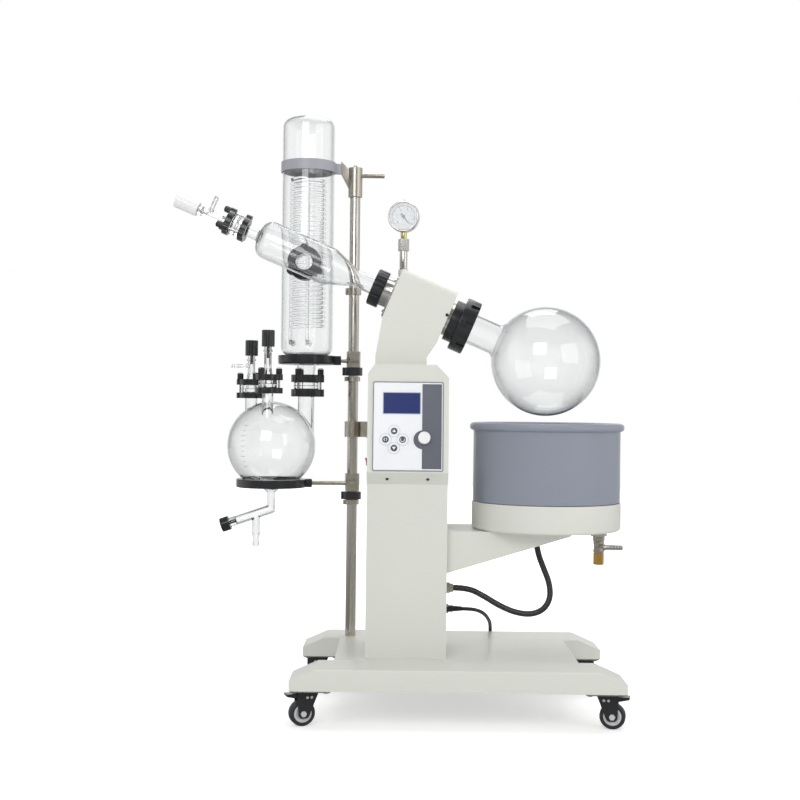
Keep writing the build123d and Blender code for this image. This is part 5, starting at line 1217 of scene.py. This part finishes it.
class GaugeOperator(bpy.types.Operator):
    """Vacuum gauge: case, dial with its scale and numbers, needle and window"""

    bl_idname = "evaporator.gauge"
    bl_label = "Vacuum gauge"

    def execute(self, context):
        case = turned("gauge_case", [
            (0, -15), (34, -15, 4), (40, -11, 2), (40, 13, 2), (38, 15, 1), (36.2, 15, 0.6),
            (35.8, DIAL_DEPTH), (0, DIAL_DEPTH)], on_dial(0, 0, -DIAL_DEPTH), GAUGE_FACE, 96, 4)
        plug = bar("plug", (GAUGE_X, 0, 1290), (GAUGE_X, 0, 1298), 4, 24, 0.8)
        add_piece("gauge_case", [case, plug], "turned_steel", "stand", ("gauge_body",), 32)
        stem = bar("stem", (GAUGE_X, 0, 1117.5), (GAUGE_X, 0, 1166.2), 10, 40, 0.8)
        hexagon = plate("hexagon", circle_outline(14.4, 6), (GAUGE_X, 0, 1166), (1, 0, 0), (0, 1, 0), 31.0)
        coupling = add_piece("gauge_coupling", [stem, hexagon], "turned_steel", "stand", smooth=32)
        rounded_edges(coupling, 0.0007)
        fitting = bar("gauge_fitting", (GAUGE_X, 0, 1196.8), (GAUGE_X, 0, 1218), 8, 40, 0.8)
        add_piece("gauge_fitting", fitting, "pale_brass", "stand")
        dial = turned("dial_face", [(0, 0), (DIAL_RADIUS, 0), (DIAL_RADIUS, 0.4), (0, 0.4)],
                      on_dial(0, 0), GAUGE_FACE, 72)
        add_piece("dial_face", dial, "dial_white", "stand")
        ticks = [dial_tick(place) for place in range(SCALE_PARTS + 1)]
        add_piece("dial_ticks", ticks, "needle_black", "stand")
        scale = dial_print("dial_scale", arc_band(29.2, 30.4, 72, SCALE_START, SCALE_SWEEP))
        add_piece("dial_scale", scale, "dial_blue", "stand")
        numbers = [dial_number(place) for place in range(0, HIGHEST_NUMBER + 1, 2)]
        add_piece("dial_numbers", numbers, "needle_black", "stand")
        dressed("gauge_needle", "needle_black", 0.00015)
        pin = turned("needle_cap", [(0, 0), (3.6, 0), (3.6, 1.0, 0.4), (0, 1.2)], on_dial(0, 0, 2.6),
                     GAUGE_FACE, 32, 3)
        add_piece("needle_cap", pin, "needle_black", "needle")
        window = turned("gauge_window", [(0, 0), (35.9, 0), (35.9, 1.2), (0, 1.2)], on_dial(0, 0, 5.4),
                        GAUGE_FACE, 72)
        add_piece("gauge_window", window, "glass", "stand")
        return {"FINISHED"}


BATH_AXIS = (232.0, 0.0, 0.0)
DRAIN_AXIS = (369, 0, 0)
DRAIN_BARBS, BARB_START, BARB_STEP = 4, 402, 7


class BathOperator(bpy.types.Operator):
    """Heated bath: housing, pot with its rolled rim, and the drain valve"""

    bl_idname = "evaporator.bath"
    bl_label = "Heated bath"

    def execute(self, context):
        housing = turned("bath_tray", [
            (0, 458), (190, 458, 8), (190, 528, 2.5), (184, 528, 2.5), (184, 461), (0, 461)],
            BATH_AXIS, UP, 160, 5)
        add_piece("bath_tray", housing, "enamel", "lift", ("bath_housing",))
        pot = turned("pot_coated", [
            (0, 528), (187.5, 528, 4), (187.5, 708.5, 2), (194, 711, 3), (197, 715, 4), (197, 722, 5),
            (193, 728, 5), (184, 729.5, 5), (176, 727, 5), (172, 720, 6), (172, 540, 30), (0, 540)],
            BATH_AXIS, UP, 160, 6)
        add_piece("pot_coated", pot, "pot_coating", "lift", ("bath_pot",), smooth=45)
        dressed("drain_valve", "turned_steel", 0.0006)
        ridge = [(3.9, 0), (6.2, 0), (7.0, 1.5), (5.4, 5.5), (3.9, 5.5)]
        ridges = [turned("barb", ridge, (BARB_START + BARB_STEP * place, 0, 411), (1, 0, 0), 32)
                  for place in range(DRAIN_BARBS)]
        add_piece("drain_barb_ridges", ridges, "turned_steel", "lift")
        body = turned("drain_body", [
            (11.6, 399), (14, 399, 1.5), (14, 405, 1.5), (12.6, 406.5), (12.6, 419), (14, 421, 1.5),
            (14, 426, 1.5), (11.6, 427)], DRAIN_AXIS, UP, 40, 3)
        nut_foot = Vector(DRAIN_AXIS) + UP * 427.5
        nut = plate("drain_nut", circle_outline(15.4, 6), nut_foot, (1, 0, 0), (0, 1, 0), 12.0)
        rounded_edges(add_piece("drain_fittings", [body, nut], "zinc_steel", "lift"), 0.0006)
        dressed("drain_plug", "brass", 0.0008)
        return {"FINISHED"}


def second_finish(piece, finish, chosen):
    """Give some faces of a piece another finish; chosen says which, from a face's centre in millimetres."""
    piece.data.materials.append(finish_of(finish))
    for face in piece.data.polygons:
        face.material_index = int(chosen(face.center / MM))


class ConduitOperator(bpy.types.Operator):
    """Corrugated conduit from the column to the bath arm, with the two glands"""

    bl_idname = "evaporator.conduit"
    bl_label = "Conduit"

    def execute(self, context):
        hose = grown("conduit_ribbed", smooth_line("conduit_line", CONDUIT_ROUTE, 24), ribbed_hose, {
            "Radius": sizes().conduit_diameter / 2, "Pitch": sizes().conduit_pitch,
            "Depth": 0.0006, "Sides": 24, "Material": finish_of("conduit_black")})
        piece = add_piece("conduit_ribbed", hose, "conduit_black", None, ("heater_conduit",), smooth=60)
        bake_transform(piece)
        glands = dressed("column_glands", "black_plastic", 0.0008)
        second_finish(glands, "zinc_steel", lambda spot: spot.z > 270.0)
        return {"FINISHED"}


# Casters: name, place of the swivel, heading in degrees, and whether it has a brake pedal
CASTERS = (
    ("front_left", -350.0, -213.0, 200.0, True),
    ("front_right", 350.0, -213.0, -12.0, True),
    ("rear_left", -350.0, 213.0, 165.0, False),
    ("rear_right", 350.0, 213.0, 20.0, False),
)
AXLE_HEIGHT, AXLE_TRAIL = 31.0, 24.0
NUT_FACE, NUT_REACH = 18.2, 9.0
HUB_FACE, FORK_FACE = 8.6, 17.9
RIVET_HEIGHT, RIVETS_ALONG = 70.0, (4.0, 15.0)


class CasterOperator(bpy.types.Operator):
    """Casters: forks with bright axle nuts and rivets, wheels with grey hubs, and pedals"""

    bl_idname = "evaporator.casters"
    bl_label = "Casters"

    def execute(self, context):
        for name, x, y, heading, braked in CASTERS:
            ahead = Vector((cos(radians(heading)), sin(radians(heading)), 0.0))
            across = ahead.cross(UP)
            axle = Vector((x, y, AXLE_HEIGHT)) + ahead * AXLE_TRAIL

            def on_nut(spot):
                sideways = (spot - axle).dot(across)
                return abs(sideways) > NUT_FACE and (spot - axle - across * sideways).length < NUT_REACH

            second_finish(dressed(f"caster_fork_{name}", "fork_black", 0.0009), "hub_grey", on_nut)
            dressed(f"caster_wheel_{name}", "wheel_rubber", 0.0012)
            if braked:
                dressed(f"caster_pedal_{name}", "fork_black", 0.0009)
            hub = [(11.2, 0), (21.8, 0), (21.8, 3.4, 1), (18.5, 4.2, 1), (14.5, 2.6, 1), (11.2, 2.2)]
            hubs = [turned("hub", hub, axle + across * side * HUB_FACE, across * side, 48, 3)
                    for side in (-1, 1)]
            add_piece(f"caster_hub_{name}", hubs, "hub_grey", f"wheel_{name}")
            swivel = Vector((x, y, RIVET_HEIGHT))
            rivets = [(swivel + ahead * along + across * side * FORK_FACE, across * side)
                      for side in (-1, 1) for along in RIVETS_ALONG]
            heads(f"caster_rivets_{name}", rivets, 3.6, 1.6, "hub_grey", 20, f"swivel_{name}")
        return {"FINISHED"}


# Soft square lamps: name, place, aim, side and power
LAMPS = (
    ("key_light", (-1.3, -4.4, 3.0), (-0.1, 0, 0.85), 2.4, 75.0),
    ("fill_light", (2.8, -2.4, 1.8), (0, 0, 0.8), 2.4, 28.0),
    ("top_light", (0.2, 0.4, 3.6), (0, 0, 0.8), 2.6, 34.0),
    ("back_light", (0.2, 2.6, 4.3), (0, 0, 0.9), 2.0, 24.0),
)


# How the floor's glow fades from the machine out to white (where glass and metal see the floor, its weak
# middle is a painted soft shadow), and how the white surroundings fade to grey screens
FLOOR_RADIUS = 9000
FLOOR_GLOW_AND_SHADOW_FADE = (0.4, 2.6, 0.45, 1.0)
SCREEN_FADE = (0.74, 0.94, 0.3, 1.0)
BEHIND_FADE = (-0.7, 0.0, 0.0, 0.72)
SOFT_LIGHT, LEAST_MIRRORED = 0.5, 0.24


def floor_finish():
    """Pale floor that stays white to the camera and keeps the real shadow; to glass and metal it is a glow
    with a painted shadow under the machine.
    """
    material, tree, shader = new_material("floor")
    work = partial(calculate, tree)
    fill(tree, shader, {"Base Color": (0.9, 0.9, 0.9, 1.0), "Roughness": 0.9, "Specular IOR Level": 0.1})
    place = add_node(tree, "ShaderNodeTexCoord").outputs["Object"]
    distance = add_node(tree, "ShaderNodeVectorMath", {0: place}, operation="LENGTH").outputs["Value"]
    # The glow is weaker near the machine, so the real shadow shows to the camera
    share = ramp(tree, distance, *FLOOR_GLOW_AND_SHADOW_FADE)
    seen = add_node(tree, "ShaderNodeLightPath").outputs
    glow = add_node(tree, "ShaderNodeEmission", {"Strength": work("MULTIPLY", seen["Is Camera Ray"], share)})
    both = add_node(tree, "ShaderNodeAddShader", {0: shader.outputs[0], 1: glow.outputs[0]})
    # Glass and metal see only a glow here, weaker near the machine: a painted shadow under it
    level = work("ADD", work("MULTIPLY", seen["Is Transmission Ray"], 0.45), 0.55)
    mirrored = add_node(tree, "ShaderNodeEmission", {"Strength": work("MULTIPLY", level, share)})
    special = work("MAXIMUM", seen["Is Glossy Ray"], seen["Is Transmission Ray"])
    choice = add_node(tree, "ShaderNodeMixShader", {0: special, 1: both.outputs[0], 2: mirrored.outputs[0]})
    fill(tree, tree.nodes["Material Output"], {"Surface": choice.outputs[0]})
    return material


def surroundings():
    """World that lights softly and is white where the camera, metal and glass look at it."""
    world = bpy.data.worlds.new("surroundings")
    world.use_nodes = True
    tree = world.node_tree
    work = partial(calculate, tree)
    seen = add_node(tree, "ShaderNodeLightPath").outputs
    camera, glossy, through = (seen[f"Is {kind} Ray"] for kind in ("Camera", "Glossy", "Transmission"))
    place = add_node(tree, "ShaderNodeTexCoord").outputs["Generated"]
    parts = add_node(tree, "ShaderNodeSeparateXYZ", {0: place}).outputs
    sideways = work("MAXIMUM", work("ABSOLUTE", parts["X"]), work("ABSOLUTE", parts["Y"]))
    screens = ramp(tree, sideways, *SCREEN_FADE)
    behind = ramp(tree, parts["Y"], *BEHIND_FADE)
    mirrored = work("ADD", work("MULTIPLY", screens, behind), LEAST_MIRRORED)
    clear = work("MULTIPLY", through, screens)
    shine = work("MULTIPLY", work("MULTIPLY", glossy, work("SUBTRACT", 1.0, through)), mirrored)
    special = work("MAXIMUM", work("MAXIMUM", glossy, through), camera)
    soft = work("MULTIPLY", work("SUBTRACT", 1.0, special), SOFT_LIGHT)
    strength = work("ADD", work("ADD", camera, clear), work("ADD", shine, soft))
    fill(tree, tree.nodes["Background"], {"Color": (1.0, 1.0, 1.0, 1.0), "Strength": strength})
    return world


class StageOperator(bpy.types.Operator):
    """Pale floor, plain white surroundings and soft lamps"""

    bl_idname = "evaporator.stage"
    bl_label = "Stage"

    def execute(self, context):
        disc = turned("floor", [(0, -1.0), (FLOOR_RADIUS, -1.0), (FLOOR_RADIUS, 0), (0, 0)],
                      (0, 0, -0.2), UP, 64)
        disc.materials.append(floor_finish())
        linked("floor", disc)
        context.scene.world = surroundings()
        for name, place, aim, side, power in LAMPS:
            lamp = bpy.data.lights.new(name, "AREA")
            lamp.shape = "SQUARE"
            lamp.size = side
            lamp.energy = power
            turn = (Vector(aim) - Vector(place)).to_track_quat("-Z", "Y").to_matrix().to_4x4()
            linked(name, lamp).matrix_world = Matrix.Translation(place) @ turn
        context.scene.view_settings.view_transform = "Standard"
        return {"FINISHED"}


OPERATORS = (
    CameraOperator, CordOperator, HousingOperator, ConsoleOperator, RotorOperator, ClampOperator,
    DuctOperator, ValveOperator, CondenserOperator, ReceiverOperator, PoleOperator, GaugeOperator,
    BathOperator, ConduitOperator, CasterOperator, StageOperator,
)


class EvaporatorPanel(bpy.types.Panel):
    """Lists the sizes, the colours and the pieces of the evaporator"""

    bl_idname = "VIEW3D_PT_evaporator"
    bl_label = "Rotary evaporator"
    bl_space_type = "VIEW_3D"
    bl_region_type = "UI"
    bl_category = "Evaporator"

    def draw(self, context):
        layout = self.layout
        for title, group in (("Sizes", sizes()), ("Colours", colours())):
            box = layout.box()
            box.label(text=title)
            for name in group.__annotations__:
                box.prop(group, name)
        column = layout.column(align=True)
        for operator in OPERATORS:
            column.operator(operator.bl_idname)


CLASSES = (EvaporatorSizes, EvaporatorColours, *OPERATORS, EvaporatorPanel)


def register():
    for item in CLASSES:
        bpy.utils.register_class(item)
    bpy.types.Scene.evaporator_sizes = bpy.props.PointerProperty(type=EvaporatorSizes)
    bpy.types.Scene.evaporator_colours = bpy.props.PointerProperty(type=EvaporatorColours)


def unregister():
    del bpy.types.Scene.evaporator_colours
    del bpy.types.Scene.evaporator_sizes
    for item in reversed(CLASSES):
        bpy.utils.unregister_class(item)


def main():
    """Build every piece in order."""
    register()
    for operator in OPERATORS:
        group, name = operator.bl_idname.split(".")
        getattr(getattr(bpy.ops, group), name)()


if __name__ == "__main__":
    main()
